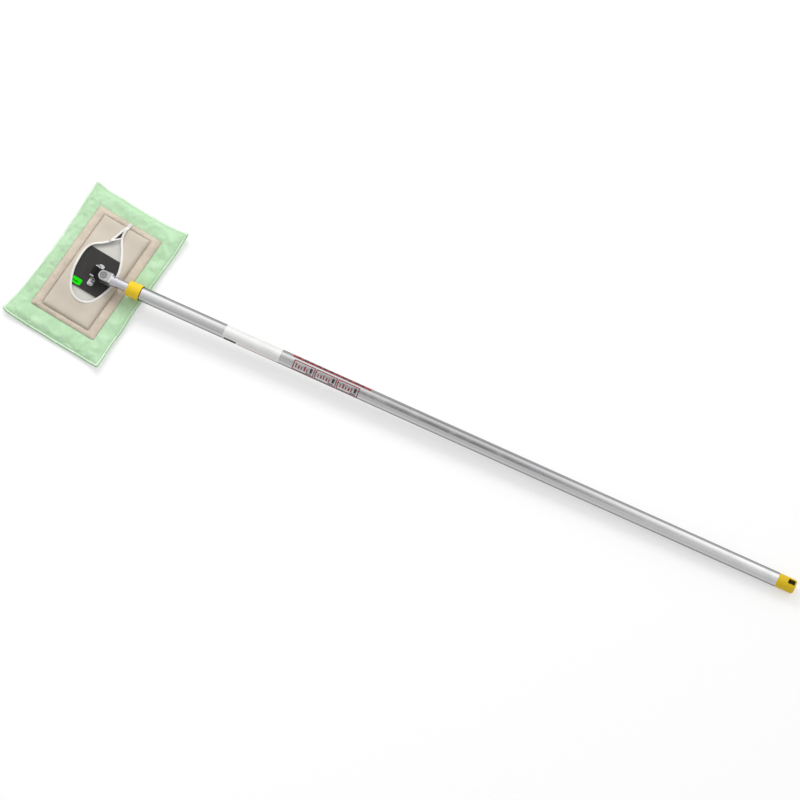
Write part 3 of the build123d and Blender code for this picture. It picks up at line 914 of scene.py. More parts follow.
def make_backing_cloth(soft, finish, edge_finish):
    """Upper layer, puffed and puckered between the pocket's seam and its stitched rim."""
    outer = half_size("wiping_cloth")
    border = half_size("pocket_border")
    inset = soft.overhang / MM
    half = outer - inset
    x, y = cloth_grid(half, soft.cell / MM)
    scale_x, scale_y = outer / half
    moved_x, moved_y, lift = shape_cloth(x * scale_x, y * scale_y, outer, soft)
    moved_x -= x * scale_x - x
    moved_y -= y * scale_y - y
    gap = rim_gap(x, y, half)
    stitch = soft.stitch_inset / MM
    reach = in_mm(soft.border_reach)
    past_x = np.abs(moved_x) - border[0] - np.where(x < 0, reach[0], reach[1])
    past_y = np.abs(moved_y) - border[1] - np.where(y < 0, reach[2], reach[3])
    outside = np.maximum(past_x, past_y)
    from_border = np.clip(outside, 0, None)
    between = from_border / np.maximum(from_border + np.clip(gap - stitch, 0, None), 1e-6)
    arch = np.sin(math.pi * np.clip(between, 0, 1))
    floor = level("wiping_cloth") - rim_thinning(gap + inset)
    rise = level("backing_cloth") - 0.2 - floor - WELT
    body = floor + WELT + rise * smooth_step(gap, stitch, stitch + 12) + 1.6 * arch**0.7
    welt = floor + WELT - edge_round(gap, 1.0, 0.4)
    drift = 0.75 * ripple(x, y, 0.036, 41.0) * arch
    pulled = np.maximum(smooth_step(x / half[0], 0.9, 1.0), smooth_step(y / half[1], 0.9, 1.0))
    groove = (0.2 + 0.5 * pulled) * np.exp(-(((gap - stitch) / 0.8) ** 2))
    upper = grid_points(moved_x, moved_y, lift + np.where(gap < stitch, welt, body) + drift - groove)
    lower = grid_points(moved_x, moved_y, lift + floor - 0.15 + edge_round(gap, 1.2, 0.3))
    open_grid = (upper, grid_faces(*x.shape))
    piece = new_piece("backing_cloth_puffed", open_grid, finish, "head", closed=False)
    free = smooth_step(outside, 0.5, 3.0) * smooth_step(gap, stitch + 0.4, stitch + 3.0)
    swell_cloth(piece, np.ravel(1 - free), soft.swell, 2.0, soft.frames, 0.0045)
    swollen = np.array([v.co for v in piece.data.vertices]) / MM
    swollen[:, 2] = np.maximum(swollen[:, 2], lower[:, 2] + 0.6)
    fill_mesh(piece.data, np.concatenate([swollen, lower]), slab_faces(*x.shape))
    face_outwards(piece.data)
    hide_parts("backing_cloth")
    make_sewn_edge("backing_cloth_edge", swollen[rim_order(*x.shape)], edge_finish)


# Section of the padded border from its outer seam inwards: share of its width, and its rise along the sides
# and along the -X end as shares of its height.
BORDER_PROFILE = (
    (0, 0.06, 0.06), (0.03, 0.2, 0.2), (0.09, 0.38, 0.38), (0.18, 0.56, 0.56), (0.32, 0.7, 0.7),
    (0.47, 0.78, 0.78), (0.62, 0.76, 0.78), (0.78, 0.64, 0.74), (0.91, 0.44, 0.68), (1.0, 0.16, 0.62),
)  # fmt: skip

# Flange of the border under the panel's seam: how far inwards it reaches and its level.
BORDER_FLANGE = ((2.4, 0.45), (2.4, 0.02), (-1.5, 0.02))

# Where the -X end of the pocket starts to stand up and where it stands, inwards from its seam.
END_BAND = (3.2, 0.2)


def make_pocket_border(soft, finish):
    """Padded strip round the pocket, sewn down along both edges, with a flange under the panel's seam."""
    outer = half_size("pocket_border")
    bottom = level("pocket_border", False)
    crown = level("pocket_border") - bottom + 0.4
    width = outer - half_size("pocket_panel") - 0.2
    counts = (74, 42, 5)
    reach = in_mm(soft.border_reach)
    seam = in_mm(soft.seam_reach)
    loops = []
    held = []
    for part, side_rise, end_rise in BORDER_PROFILE:
        half = outer - part * width
        loop = rounded_loop(half, 3.0 + 0.2 * part, counts)
        at_end = smooth_step(-loop[:, 0], half[0] - END_BAND[0], half[0] - END_BAND[1])
        rise = side_rise + (end_rise - side_rise) * at_end
        loop = spread(loop, reach * (1 - part) + seam * part, outer)
        puff = 1 + 0.07 * ripple(*loop.T, 0.05, 51.0)
        pinch = 0.16 * np.clip(rise, 0, 1) * ripple(*loop.T, 0.16, 57.0)
        loops.append(np.column_stack([loop, bottom + 0.1 + crown * rise * puff + pinch]))
        held.append(np.full(len(loop), 1.0 if part in (0, 1) else 0.0))
    for inwards, z in BORDER_FLANGE:
        loop = spread(rounded_loop(outer - width - inwards, 2.5, counts), seam, outer)
        loops.append(np.column_stack([loop, np.full(len(loop), bottom + z)]))
        held.append(np.ones(len(loop)))
    shape = (np.concatenate(loops), loop_faces(len(loops), len(loops[0])))
    piece = new_piece("pocket_border_padded", shape, finish, "head")
    swell_cloth(piece, np.concatenate(held), soft.border_swell, 1.0, soft.frames, 0.0008)
    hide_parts("pocket_border")


# Middle of the white edge round the opening: from its pointed end along -Y to the round end, back along +Y.
OPENING = (
    (-92.0, -1.4), (-81.0, -4.5), (-71.5, -6.9), (-63.5, -9.2), (-57.5, -12.2), (-50.0, -20.0),
    (-42.5, -30.0), (-35.5, -36.0), (-26.0, -39.4), (-14.0, -40.3), (0.0, -39.2), (15.0, -36.7),
    (29.0, -31.8), (42.0, -25.6), (52.0, -17.8), (58.8, -8.0), (61.7, 3.0), (59.5, 14.5),
    (53.0, 24.0), (43.0, 30.0), (30.0, 34.6), (12.0, 38.6), (-4.0, 37.6), (-18.0, 35.2),
    (-31.0, 30.7), (-43.0, 24.5), (-56.0, 16.5), (-65.5, 9.6), (-75.0, 4.3), (-84.0, 2.1),
    (-92.0, 1.7),
)  # fmt: skip

# Where both ends of the white edge run together over the border.
TAIL = ((-98.0, 2.4), (-105.5, 2.8), (-105.8, 0.2), (-98.0, -0.8))

# Where the white edge narrows to its tail and where it comes down on the border, from the middle towards -X.
TAPER = (86, 97)
DESCENT = (93, 99)

# Line inside the opening that the panel's threads run to: its ends along X and its place along Y.
OPENING_AXIS = (-84.0, 34.0, 0.9)

# How the panel rises from its seam: distance from the seam, and share of the full height.
PANEL_GAPS = (0, 0.6, 1.5, 2.7, 4.2, 7, 12, 18)
PANEL_RISES = (0.02, 0.25, 0.5, 0.68, 0.81, 0.92, 0.985, 1.0)

# Where the panel's crest falls, from the middle towards +X and towards -X, and how far.
CREST_ENDS = ((46, 84), (36, 76))
CREST_FALL = 2.5

# Rows of the panel's mesh from the seam to the opening.
PANEL_ROWS = (0, 0.012, 0.03, 0.055, 0.09, 0.14, 0.22, 0.32, 0.44, 0.56, 0.68, 0.79, 0.88, 0.95, 1.0)
PANEL_CORNER = 3.0
PANEL_THICK = 1.1


def seam_gap(flat, half, corner):
    """Distance of points inside a rounded rectangle from its outline."""
    over = np.clip(np.abs(flat) - (half - corner), 0, None)
    straight = (half - np.abs(flat)).min(axis=1)
    gap = np.where(over.min(axis=1) > 0, corner - np.hypot(*over.T), straight)
    return np.clip(gap, 0, None)


def panel_height(flat, seam):
    """Level of the stretch panel's upper face: high over the centre plate, falling to the seam."""
    bottom = level("pocket_panel", False)
    half = half_size("pocket_panel")
    x = flat[:, 0]
    plain = flat / spreading(flat, seam, half)
    gap = seam_gap(plain, half, PANEL_CORNER)
    at_end = smooth_step(-plain[:, 0], half[0] - END_BAND[0], half[0] - END_BAND[1])
    ends = np.maximum(smooth_step(x, *CREST_ENDS[0]), smooth_step(-x, *CREST_ENDS[1]))
    crest = level("pocket_panel") - CREST_FALL * ends
    rise = np.maximum(np.interp(gap, PANEL_GAPS, PANEL_RISES), 0.3 * at_end)
    drift = 0.3 * ripple(*flat.T, 0.035, 61.0) * smooth_step(gap, 3, 12)
    return bottom + (crest - bottom) * rise + drift


def across_panel(seam, edge):
    """For each point of the seam, the point of the opening's edge on the line to the opening's middle."""
    ahead = np.roll(edge, -1, axis=0) - edge
    found = []
    for point in seam:
        start = np.array([np.clip(point[0], *OPENING_AXIS[:2]), OPENING_AXIS[2]])
        ray = point - start
        offset = edge - start
        cross = ray[0] * ahead[:, 1] - ray[1] * ahead[:, 0]
        cross = np.where(np.abs(cross) < TINY, TINY, cross)
        reach = (offset[:, 0] * ahead[:, 1] - offset[:, 1] * ahead[:, 0]) / cross
        part = (offset[:, 0] * ray[1] - offset[:, 1] * ray[0]) / cross
        found.append(start + ray * reach[(part >= 0) & (part < 1) & (reach > 0)].max())
    return np.array(found)


def make_pocket_panel(soft, finish):
    """Stretch panel pulled over the plates, with a drop-shaped opening."""
    half = half_size("pocket_panel")
    edge = spline(OPENING, 600)
    edge = edge + outward(edge) * (soft.binding_width / MM * 0.12)
    reach = in_mm(soft.seam_reach)
    seam = spread(rounded_loop(half, PANEL_CORNER, (78, 40, 5)), reach, half)
    inner = across_panel(seam, edge)
    rows = [seam + (inner - seam) * part for part in PANEL_ROWS]
    upper = np.array([np.column_stack([flat, panel_height(flat, reach)]) for flat in rows])
    normal = np.cross(np.gradient(upper, axis=0), np.roll(upper, -1, axis=1) - np.roll(upper, 1, axis=1))
    normal /= np.maximum(np.linalg.norm(normal, axis=2, keepdims=True), TINY)
    normal *= np.where(normal[:, :, 2:] < 0, -1, 1)
    lower = (upper - normal * PANEL_THICK)[::-1]
    lower[:, :, 2] = np.maximum(lower[:, :, 2], level("pocket_panel", False) + 0.02)
    points = np.concatenate([upper, lower]).reshape(-1, 3)
    shape = (points, loop_faces(2 * len(rows), len(seam)))
    piece = new_piece("pocket_panel_stretched", shape, finish, "head")
    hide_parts("pocket_panel")


def make_opening_binding(soft, finish):
    """Elastic tape folded over the edge of the opening; its ends run together over the border."""
    line = spline(OPENING + TAIL, 420)
    half_thick = 1.35
    on_border = 12.2
    middle = level("opening_binding") - half_thick
    tail = smooth_step(-line[:, 0], *TAPER)
    over_border = smooth_step(-line[:, 0], *DESCENT)
    widths = soft.binding_width / MM * (1 - 0.25 * tail)
    levels = middle + 0.12 * ripple(*line.T, 0.09, 71.0) - over_border * (middle - on_border)
    path = []
    for point, normal, width, height in zip(line, outward(line), widths, levels):
        side = np.array([*normal, -0.12])
        path.append(((*point, height), side * width / 2, UP * half_thick))
    piece = new_piece("opening_binding_tape", tube_mesh(path, circle(12)), finish, "head")
    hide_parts("opening_binding")
    return piece


# Half the section of a flat tape with rounded edges, as shares of its half width and half thickness.
TAPE_SECTION = ((1, 0), (0.93, 0.75), (0.6, 1), (0, 1.06), (-0.6, 1), (-0.93, 0.75))


def ribbon(path, width, thick):
    """Points and faces of a flat tape along a line, with rounded edges."""
    rows = []
    for index, centre in enumerate(path):
        ahead = path[min(index + 1, len(path) - 1)] - path[max(index - 1, 0)]
        ahead /= np.linalg.norm(ahead)
        side = np.cross(ahead, UP)
        side /= np.linalg.norm(side)
        rows.append((centre, side * width / 2, np.cross(side, ahead) * thick / 2))
    section = TAPE_SECTION + tuple((-a, -b) for a, b in TAPE_SECTION)
    return tube_mesh(rows, section, closed=False)


def make_closure_strap(finish, shade_finish):
    """Tape slanted across the neck of the opening, and a dark sheet beyond it that paints the shade inside
    the opening's neck.
    """
    top = level("closure_strap")
    low = level("closure_strap", False)
    controls = (
        (-58.8, -11.4, low - 0.6), (-60.5, -9.7, top - 0.9), (-63.5, -6.7, top - 1.2),
        (-67.2, -3.0, top - 1.6), (-70.5, 0.3, top - 1.6), (-73.0, 2.8, top - 1.3),
        (-75.2, 5.0, low - 0.7),
    )  # fmt: skip
    tape = ribbon(spline(controls, 30, closed=False), 2.8, 0.9)
    strap = new_piece("closure_strap_tape", tape, finish, "head")
    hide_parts("closure_strap")
    # Dark sheet on the plate beyond the strap: painted shade inside the opening's neck.
    rows, columns = 18, 16
    part, across = np.meshgrid(np.linspace(0, 1, rows), np.linspace(-9, 9, columns), indexing="ij")
    along = -93 + (18.5 - 0.7 * across) * part
    bulge = 0.4 * np.sin(math.pi * part) + 0.2 * ripple(along, across, 0.2, 83.0)
    upper = level("base_plate") + 1.0 + bulge
    shade_sheet = (grid_points(along, across, upper, upper - 0.7), slab_faces(rows, columns))
    shade_sheet_piece = new_piece("closure_shade_sheet", shade_sheet, shade_finish, "head")
    return strap, shade_sheet_piece


# One stitch: place along its length, and its thickness and rise there.
STITCH = ((-0.5, 0.35, -0.25), (-0.3, 0.9, 0.05), (0, 1.0, 0.12), (0.3, 0.9, 0.05), (0.5, 0.35, -0.25))

# Where the search for the cloth under a stitch starts, in metres, and its level where there is none.
SEARCH_FROM = 0.2
NO_CLOTH = 8.0


def stitch_mesh(line, spacing, length, thick):
    """Short rounded stitches along a closed line that is given in millimetres."""
    even = resample(line, spacing)
    beads = []
    for centre, direction in zip(even, headings(even, back=0)):
        side = np.cross(direction, UP)
        path = []
        for part, width, rise in STITCH:
            middle = centre + direction * part * length + UP * rise
            path.append((middle, side * thick / 2 * width, UP * thick / 2 * width))
        beads.append(tube_mesh(path, circle(6), closed=False))
    return join_meshes(beads)


def drop_on(pieces, flat, lift):
    """Flat points set down on the uppermost of some pieces."""
    depsgraph = bpy.context.evaluated_depsgraph_get()
    down = Vector((0, 0, -1))
    placed = []
    for x, y in flat:
        above = Vector((x * MM, y * MM, SEARCH_FROM))
        found = [piece.ray_cast(above, down, depsgraph=depsgraph) for piece in pieces]
        levels = [place.z / MM for hit, place, _, _ in found if hit]
        placed.append((x, y, max(levels, default=NO_CLOTH) + lift))
    return np.array(placed)


# Stitches of each sewn line: their spacing, length and thickness, and how high they lie on the cloth.
RIM_GAUGE = (3.6, 2.7, 0.55, 0.1)
BORDER_GAUGE = (3.2, 2.5, 0.6, 0.05)
PANEL_GAUGE = (3.0, 2.6, 0.5, 0.05)

# How far the border's line lies inside its edge, and the panel's line outside its seam.
BORDER_INSET = 0.8
PANEL_OUTSET = 1.1


def sew(name, line, pieces, gauge, thread):
    """Sews a closed flat line down on the uppermost of some pieces."""
    *stitch, lift = gauge
    new_piece(name, stitch_mesh(drop_on(pieces, line, lift), *stitch), thread, "head")


def make_stitching(soft, border_thread, seam_thread, green_thread):
    """Sewn lines of the rim, the border and the panel."""
    backing = bpy.data.objects["backing_cloth_puffed"]
    border = bpy.data.objects["pocket_border_padded"]
    bpy.context.view_layer.update()
    outer = half_size("wiping_cloth")
    line = rounded_loop(outer - (soft.overhang + soft.stitch_inset) / MM, 0.6, (120, 80, 3))
    line = np.column_stack(shape_cloth(*line.T, outer, soft)[:2])
    sew("rim_stitches", line, [backing], RIM_GAUGE, green_thread)
    edge = half_size("pocket_border")
    line = rounded_loop(edge - BORDER_INSET, 2.4, (90, 60, 5))
    line = spread(line, in_mm(soft.border_reach), edge)
    sew("border_stitches", line, [border], BORDER_GAUGE, border_thread)
    panel = half_size("pocket_panel")
    line = rounded_loop(panel + PANEL_OUTSET, PANEL_CORNER, (90, 60, 5))
    line = spread(line, in_mm(soft.seam_reach), panel)
    sew("panel_stitches", line, [border, backing], PANEL_GAUGE, seam_thread)


def clip_corner(distance, turn, ends, turns, corner):
    """Draws the corners of a patch in to a round."""
    arc = corner / HANDLE.radius
    near_end = min(distance - ends[0], ends[1] - distance)
    near_side = min(turn - turns[0], turns[1] - turn)
    if near_end < corner and near_side < arc:
        a = 1 - near_end / corner
        b = 1 - near_side / arc
        shrink = max(a, b) / math.hypot(a, b)
        towards_end = 1 if distance - ends[0] < ends[1] - distance else -1
        towards_side = 1 if turn - turns[0] < turns[1] - turn else -1
        distance += towards_end * corner * a * (1 - shrink)
        turn += towards_side * arc * b * (1 - shrink)
    return distance, turn


def pole_patch(ends, turns, lift, thick, counts, corner=0.0):
    """Thin patch bent on the pole, in millimetres; its ends are in metres and its turns in radians."""
    outer = []
    inner = []
    for distance in np.linspace(*ends, counts[0]):
        for turn in np.linspace(*turns, counts[1]):
            place = clip_corner(distance, turn, ends, turns, corner) if corner else (distance, turn)
            outer.append(tuple(HANDLE.point(*place, HANDLE.radius + lift + thick) / MM))
            inner.append(tuple(HANDLE.point(*place, HANDLE.radius + lift) / MM))
    return outer + inner, slab_faces(*counts)


def make_film_label(settings, finish):
    """Thin film with rounded corners on the side of the pole."""
    ends = (settings.film_start, settings.film_end)
    turns = (math.radians(-90), math.radians(97))
    film = pole_patch(ends, turns, lift=0.00002, thick=0.00014, counts=(45, 35), corner=0.004)
    new_piece("pole_film_label", film, finish, "handle")


# Thickness of the ink, of the marks that stand on it, and the gap under both, in metres.
INK_THICK = 0.0002
MARK_THICK = 0.00026
INK_LIFT = 0.00001

# Mesh size of a printed mark: along the pole in metres, and round it in radians.
MARK_CELL = (0.003, 0.12)

# Where the printed marks lie round the pole, in degrees from straight up.
STRIPE_TURNS = (-78, -28)
STRIPE_BAR_TURNS = (-76, -34)
FILM_BAR_TURNS = (68, 112)
FILM_LINE_TURNS = (88, 110)
CELL_TURNS = (-10, 78)

# Framed cells of the band: how many, the gap between them and the width of their lines, in metres.
CELLS = 3
CELL_GAP = 0.0015
CELL_LINE = 0.0017


def print_marks(name, marks, finish, thick):
    """Lays marks on the pole; each has its start and end in metres and its turns in degrees."""
    patches = []
    for first, last, *degrees in marks:
        turns = [math.radians(turn) for turn in degrees]
        rows = max(2, round((last - first) / MARK_CELL[0]))
        columns = max(2, round((turns[1] - turns[0]) / MARK_CELL[1]) + 1)
        patches.append(pole_patch((first, last), turns, INK_LIFT, thick, (rows, columns)))
    new_piece(name, join_meshes(patches), finish, "handle")


def cell_frame(first, last):
    """Four lines round a cell."""
    top, bottom = CELL_TURNS
    line_turn = math.degrees(CELL_LINE / HANDLE.radius)
    inside = (top + line_turn, bottom - line_turn)
    return [
        (first, last, top, inside[0]),
        (first, last, inside[1], bottom),
        (first, first + CELL_LINE, *inside),
        (last - CELL_LINE, last, *inside),
    ]


def make_printed_band(settings, ink, mark):
    """Lines along the film and the cells, three framed cells and plain bars in them."""
    start, end = settings.band_start, settings.band_end
    pitch = (end - start) / CELLS
    bar_end = settings.film_start + 0.0265
    frames = [
        (start - 0.005, end + 0.017, *STRIPE_TURNS),
        (bar_end + 0.003, settings.film_end, *FILM_LINE_TURNS),
    ]
    bars = [(settings.film_start + 0.003, bar_end, *FILM_BAR_TURNS)]
    for k in range(11):
        place = start + 0.004 + 0.012 * k
        bars.append((place, place + 0.005 + 0.002 * (k % 2), *STRIPE_BAR_TURNS))
    for cell in range(CELLS):
        first = start + cell * pitch + CELL_GAP / 2
        last = first + pitch - CELL_GAP
        frames += cell_frame(first, last)
        for k in range(5):
            place = first + 0.005 + (pitch - 0.021) * k / 4
            tall = 12 if (k + cell) % 3 == 0 else 24
            frames.append((place, place + 0.002 + 0.0008 * (k % 2), tall, 50))
        bars.append((last - 0.0085, last - 0.0045, 6, 46))
        bars.append((last - 0.015, last - 0.004, 57, 63))
    print_marks("pole_print_frames", frames, ink, INK_THICK)
    print_marks("pole_print_bars", bars, mark, MARK_THICK)


def make_collar_shade_ring(finish):
    """Thin dark ring at the gap between the collar's rim and the pole: painted shade of the step there."""
    path = []
    for turn in np.linspace(0, 2 * math.pi, 72, endpoint=False):
        centre = HANDLE.point(HANDLE.collar_end + 0.0003, turn, HANDLE.radius + 0.0003)
        out = HANDLE.point(0, turn, 1) - HANDLE.start
        path.append((centre / MM, HANDLE.along * (0.75 + 0.08 * math.sin(5 * turn)), out * 0.7))
    new_piece("collar_shade_ring", tube_mesh(path, circle(10)), finish, "handle")


def dress(finish, *nodes):
    """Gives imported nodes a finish."""
    for node in nodes:
        materials = frame["nodes"][node].data.materials
        materials.clear()
        materials.append(finish)


def seen_rays(paint):
    """1 for rays that show a surface to the camera, straight or by way of metal or glass."""
    camera, glossy, through = (
        paint.add("LightPath", output=f"Is {kind} Ray") for kind in ("Camera", "Glossy", "Transmission")
    )
    return paint.clamp(camera + glossy + through)


# Half the width of the floor and how far it lies under the mop, in metres.
FLOOR_REACH = 14.0
FLOOR_DROP = 0.0004


def make_floor(stage):
    """Pale paper under the mop."""
    material, paint = new_finish("paper floor")
    tooth = paint.noise(paint.place(), 5.0)
    tint = paint.mix(tooth, stage.floor, shaded(stage.floor, 0.995))
    sockets = {"Base Color": tint, "Roughness": 0.9 + tooth * 0.05, "Specular IOR Level": 0.0}
    paper = paint.add("BsdfPrincipled", (), sockets)
    ground = paint.add("Emission", (), {"Color": (1, 1, 1, 1), "Strength": 1.0})
    shown = paint.add("MixShader", (), {0: seen_rays(paint) * stage.veil, 1: paper, 2: ground})
    paint.add("OutputMaterial", (), {"Surface": shown})
    mesh = bpy.data.meshes.new("floor")
    corners = [(x * FLOOR_REACH, y * FLOOR_REACH, 0) for x, y in ((-1, -1), (1, -1), (1, 1), (-1, 1))]
    mesh.from_pydata(corners, [], [(0, 1, 2, 3)])
    mesh.materials.append(material)
    floor = bpy.data.objects.new("floor", mesh)
    floor.location.z = -FLOOR_DROP
    bpy.context.scene.collection.objects.link(floor)


# Light round the pole, from the floor on its far side over the top to the near side: place and strength.
SKY_LIGHT = (
    (0.0, 0.35), (0.06, 0.75), (0.12, 1.45), (0.18, 1.8), (0.3, 1.72), (0.4, 1.48), (0.48, 1.27), (0.6, 1.08),
    (0.68, 0.95), (0.79, 0.72), (0.87, 0.66), (1.0, 0.66),
)  # fmt: skip

# How dark the gap between the two panels is, over the same places.
SKY_GAP = (
    (0.0, 0.7), (0.06, 0.7), (0.14, 0.55), (0.25, 0.55), (0.36, 0.64), (0.45, 0.86), (0.53, 1.0), (0.62, 1.0),
    (0.68, 0.85), (0.74, 0.4), (0.8, 0.0),
)  # fmt: skip

# A ramp holds values up to 1, so the light goes into it divided by this and comes out multiplied.
SKY_PEAK = 2.0

# Middle of the gap along the pole's direction, and where its soft edge begins and ends.
GAP_MIDDLE = -0.108
GAP_EDGE = (0.015, 0.08)


def make_sky(scene, stage):
    """Soft light all round, dimmer on the near side: two bright panels on the far side and a gap between."""
    world = bpy.data.worlds.new("studio")
    world.use_nodes = True
    scene.world = world
    paint = Paint(world.node_tree)
    direction = paint.add("TexCoord", output=0)
    near, upward, along = (paint.dot(direction, axis) for axis in (HANDLE.side, HANDLE.up, HANDLE.along))
    turn = paint.math("ARCTAN2", near, upward)
    part = paint.add("MapRange", (), {"Value": turn, "From Min": -math.pi / 2, "From Max": math.pi / 2})
    stops = [(place, value / SKY_PEAK) for place, value in SKY_LIGHT]
    panels = paint.add("ValToRGB", {"stops": stops}, {0: part})
    darker = paint.add("ValToRGB", {"stops": SKY_GAP}, {0: part})
    gap = paint.span(abs(along - GAP_MIDDLE), *GAP_EDGE, 1.0, 0.0)
    mirrored = paint.add("LightPath", output="Is Glossy Ray") * stage.gleam
    near_end = paint.span(along, -0.2, -0.1) * paint.span(part, 0.62, 0.8)
    end_panel = paint.span(along, -0.07, 0.0) * 0.1 + near_end * 0.2
    strength = (1 + mirrored) * (1 + end_panel) * (SKY_PEAK * stage.sky)
    glow = paint.add("Background", (), {"Color": panels * (1 - gap * darker), "Strength": strength})
    white = paint.add("Background", (), {"Color": (1, 1, 1, 1), "Strength": 1.0})
    seen = paint.add("LightPath", output="Is Camera Ray")
    shown = paint.add("MixShader", (), {0: seen, 1: glow, 2: white})
    paint.add("OutputWorld", (), {"Surface": shown})


# Sides of the lamp, how far it stands beyond the head along the pole, and how far off it hangs, in metres.
LAMP_SIZE = (1.13, 2.4)
LAMP_BEYOND = 1.5
LAMP_OFF = 3.2


def make_key(stage):
    """Long lamp over the head's far side, in line with the pole; metal mirrors only the sky's panels."""
    lamp = bpy.data.lights.new("softbox", "AREA")
    lamp.energy = stage.key
    lamp.shape = "RECTANGLE"
    lamp.size, lamp.size_y = LAMP_SIZE
    box = bpy.data.objects.new("softbox", lamp)
    towards = HANDLE.up * math.cos(stage.key_turn) - HANDLE.side * math.sin(stage.key_turn)
    across = HANDLE.along.cross(towards)
    box.location = HANDLE.start - HANDLE.along * LAMP_BEYOND + towards * LAMP_OFF
    box.rotation_euler = Matrix((across, HANDLE.along, towards)).transposed().to_euler()
    box.visible_glossy = False
    bpy.context.scene.collection.objects.link(box)


# Middle of the mop, which the camera looks at: distance from the head's middle, and turn from +Y in degrees.
MIDDLE_REACH = 0.6
MIDDLE_TURN = -7.1

# Shift of the framing as shares of the picture's width, which is in pixels, and the sensor in millimetres.
PICTURE_WIDTH = 800
FRAMING = (-7.7 / PICTURE_WIDTH, 11.9 / PICTURE_WIDTH)
SENSOR_WIDTH = 36.0


def make_camera(scene, stage):
    """Camera at the photograph's angle, with the small shift of its framing."""
    turn = stage.azimuth
    rise = stage.elevation
    back = Vector((math.sin(turn) * math.cos(rise), -math.cos(turn) * math.cos(rise), math.sin(rise)))
    swing = math.radians(MIDDLE_TURN)
    middle = Vector((math.sin(swing), math.cos(swing), 0)) * MIDDLE_REACH
    data = bpy.data.cameras.new("camera")
    data.sensor_width = SENSOR_WIDTH
    data.lens = stage.lens
    data.shift_x, data.shift_y = FRAMING
    camera = bpy.data.objects.new("camera", data)
    camera.location = middle + back * stage.distance
    camera.rotation_euler = back.to_track_quat("Z", "Y").to_euler()
    scene.collection.objects.link(camera)
    scene.camera = camera


class MOP_OT_wiping_cloth(bpy.types.Operator):
    """Make the lower layer of pile and its overlocked edge"""

    bl_idname = "mop.wiping_cloth"
    bl_label = "Wiping cloth"

    def execute(self, context):
        soft = context.scene.mop_soft
        pile = cloth_finish("mint pile", soft.cloth, soft.cloth_shade)
        rim = cloth_finish("mint overlock", soft.cloth, soft.cloth_shade, weave=1300.0)
        make_wiping_cloth(soft, pile, rim)
        return {"FINISHED"}


class MOP_OT_backing_cloth(bpy.types.Operator):
    """Make the puffed upper layer of the cloth"""

    bl_idname = "mop.backing_cloth"
    bl_label = "Backing cloth"

    def execute(self, context):
        soft = context.scene.mop_soft
        # Near-white sewn edge: partly painted highlight along its top.
        edge = cloth_finish("mint sewn edge", soft.rim, soft.cloth, weave=1300.0)
        make_backing_cloth(soft, bpy.data.materials["mint pile"], edge)
        return {"FINISHED"}


class MOP_OT_pocket(bpy.types.Operator):
    """Make the padded border and the stretch panel of the pocket"""

    bl_idname = "mop.pocket"
    bl_label = "Pocket"

    def execute(self, context):
        soft = context.scene.mop_soft
        border_shade = shaded(soft.border, 0.86)
        panel_shade = shaded(soft.panel, 0.92)
        padded = knit_finish("border knit", soft.border, border_shade, scale=420.0, strength=0.3, grain=700.0)
        make_pocket_border(soft, padded)
        smooth = knit_finish("panel knit", soft.panel, panel_shade, scale=560.0, strength=0.2, grain=900.0)
        make_pocket_panel(soft, smooth)
        return {"FINISHED"}


class MOP_OT_opening(bpy.types.Operator):
    """Make the white binding round the opening, the strap across its neck and a dark sheet under it as
    painted shade
    """

    bl_idname = "mop.opening"
    bl_label = "Opening"

    def execute(self, context):
        soft = context.scene.mop_soft
        worn = shaded(soft.tape, 0.86)
        tape = knit_finish("white tape", soft.tape, worn, scale=620.0, strength=0.35, grain=1100.0)
        # Colours of the dark sheet that paints the shade in the opening's neck.
        shade_sheet = (tone(98, 89, 81), tone(66, 60, 55))
        dark = knit_finish("dark sheet of painted shade", *shade_sheet, scale=620.0, strength=0.4, grain=1100.0)
        binding = make_opening_binding(soft, tape)
        strap, shade_sheet_piece = make_closure_strap(tape, dark)
        return {"FINISHED"}


class MOP_OT_stitching(bpy.types.Operator):
    """Sew the rim, the border and the panel"""

    bl_idname = "mop.stitching"
    bl_label = "Stitching"

    def execute(self, context):
        soft = context.scene.mop_soft
        twist = {"scale": 1500.0, "strength": 0.3, "grain": 1800.0}
        beige = knit_finish("beige thread", soft.thread, shaded(soft.thread, 0.8), **twist)
        green = knit_finish("mint thread", soft.cloth, soft.cloth_shade, **twist)
        # The seam's thread is darkened to paint the shade of the groove along the seam.
        seam_shade_thread = knit_finish("seam thread darkened for painted shade", soft.seam, shaded(soft.seam, 0.8), **twist)
        make_stitching(soft, beige, seam_shade_thread, green)
        return {"FINISHED"}


class MOP_OT_plates(bpy.types.Operator):
    """Finish the plates and the label"""

    bl_idname = "mop.plates"
    bl_label = "Plates"

    def execute(self, context):
        hard = context.scene.mop_hard
        white_worn = shaded(hard.plate, 0.9)
        white = moulded_finish(
            "white moulding", hard.plate, white_worn, rough=0.5, grain_scale=500.0, grain=0.12, gloss=0.3
        )
        black = moulded_finish(
            "black grained moulding",
            hard.black,
            shaded(hard.black, 1.5, 0.004),
            rough=0.5,
            grain_scale=1500.0,
            grain=0.5,
            gloss=0.25,
        )
        label = label_finish("green label film", hard.label, shaded(hard.label, 1.12, 0.01), hard.mark)
        dress(white, "base_plate", "thrust_washers")
        dress(black, "centre_plate", "pole_plug")
        dress(label, "plate_label")
        return {"FINISHED"}


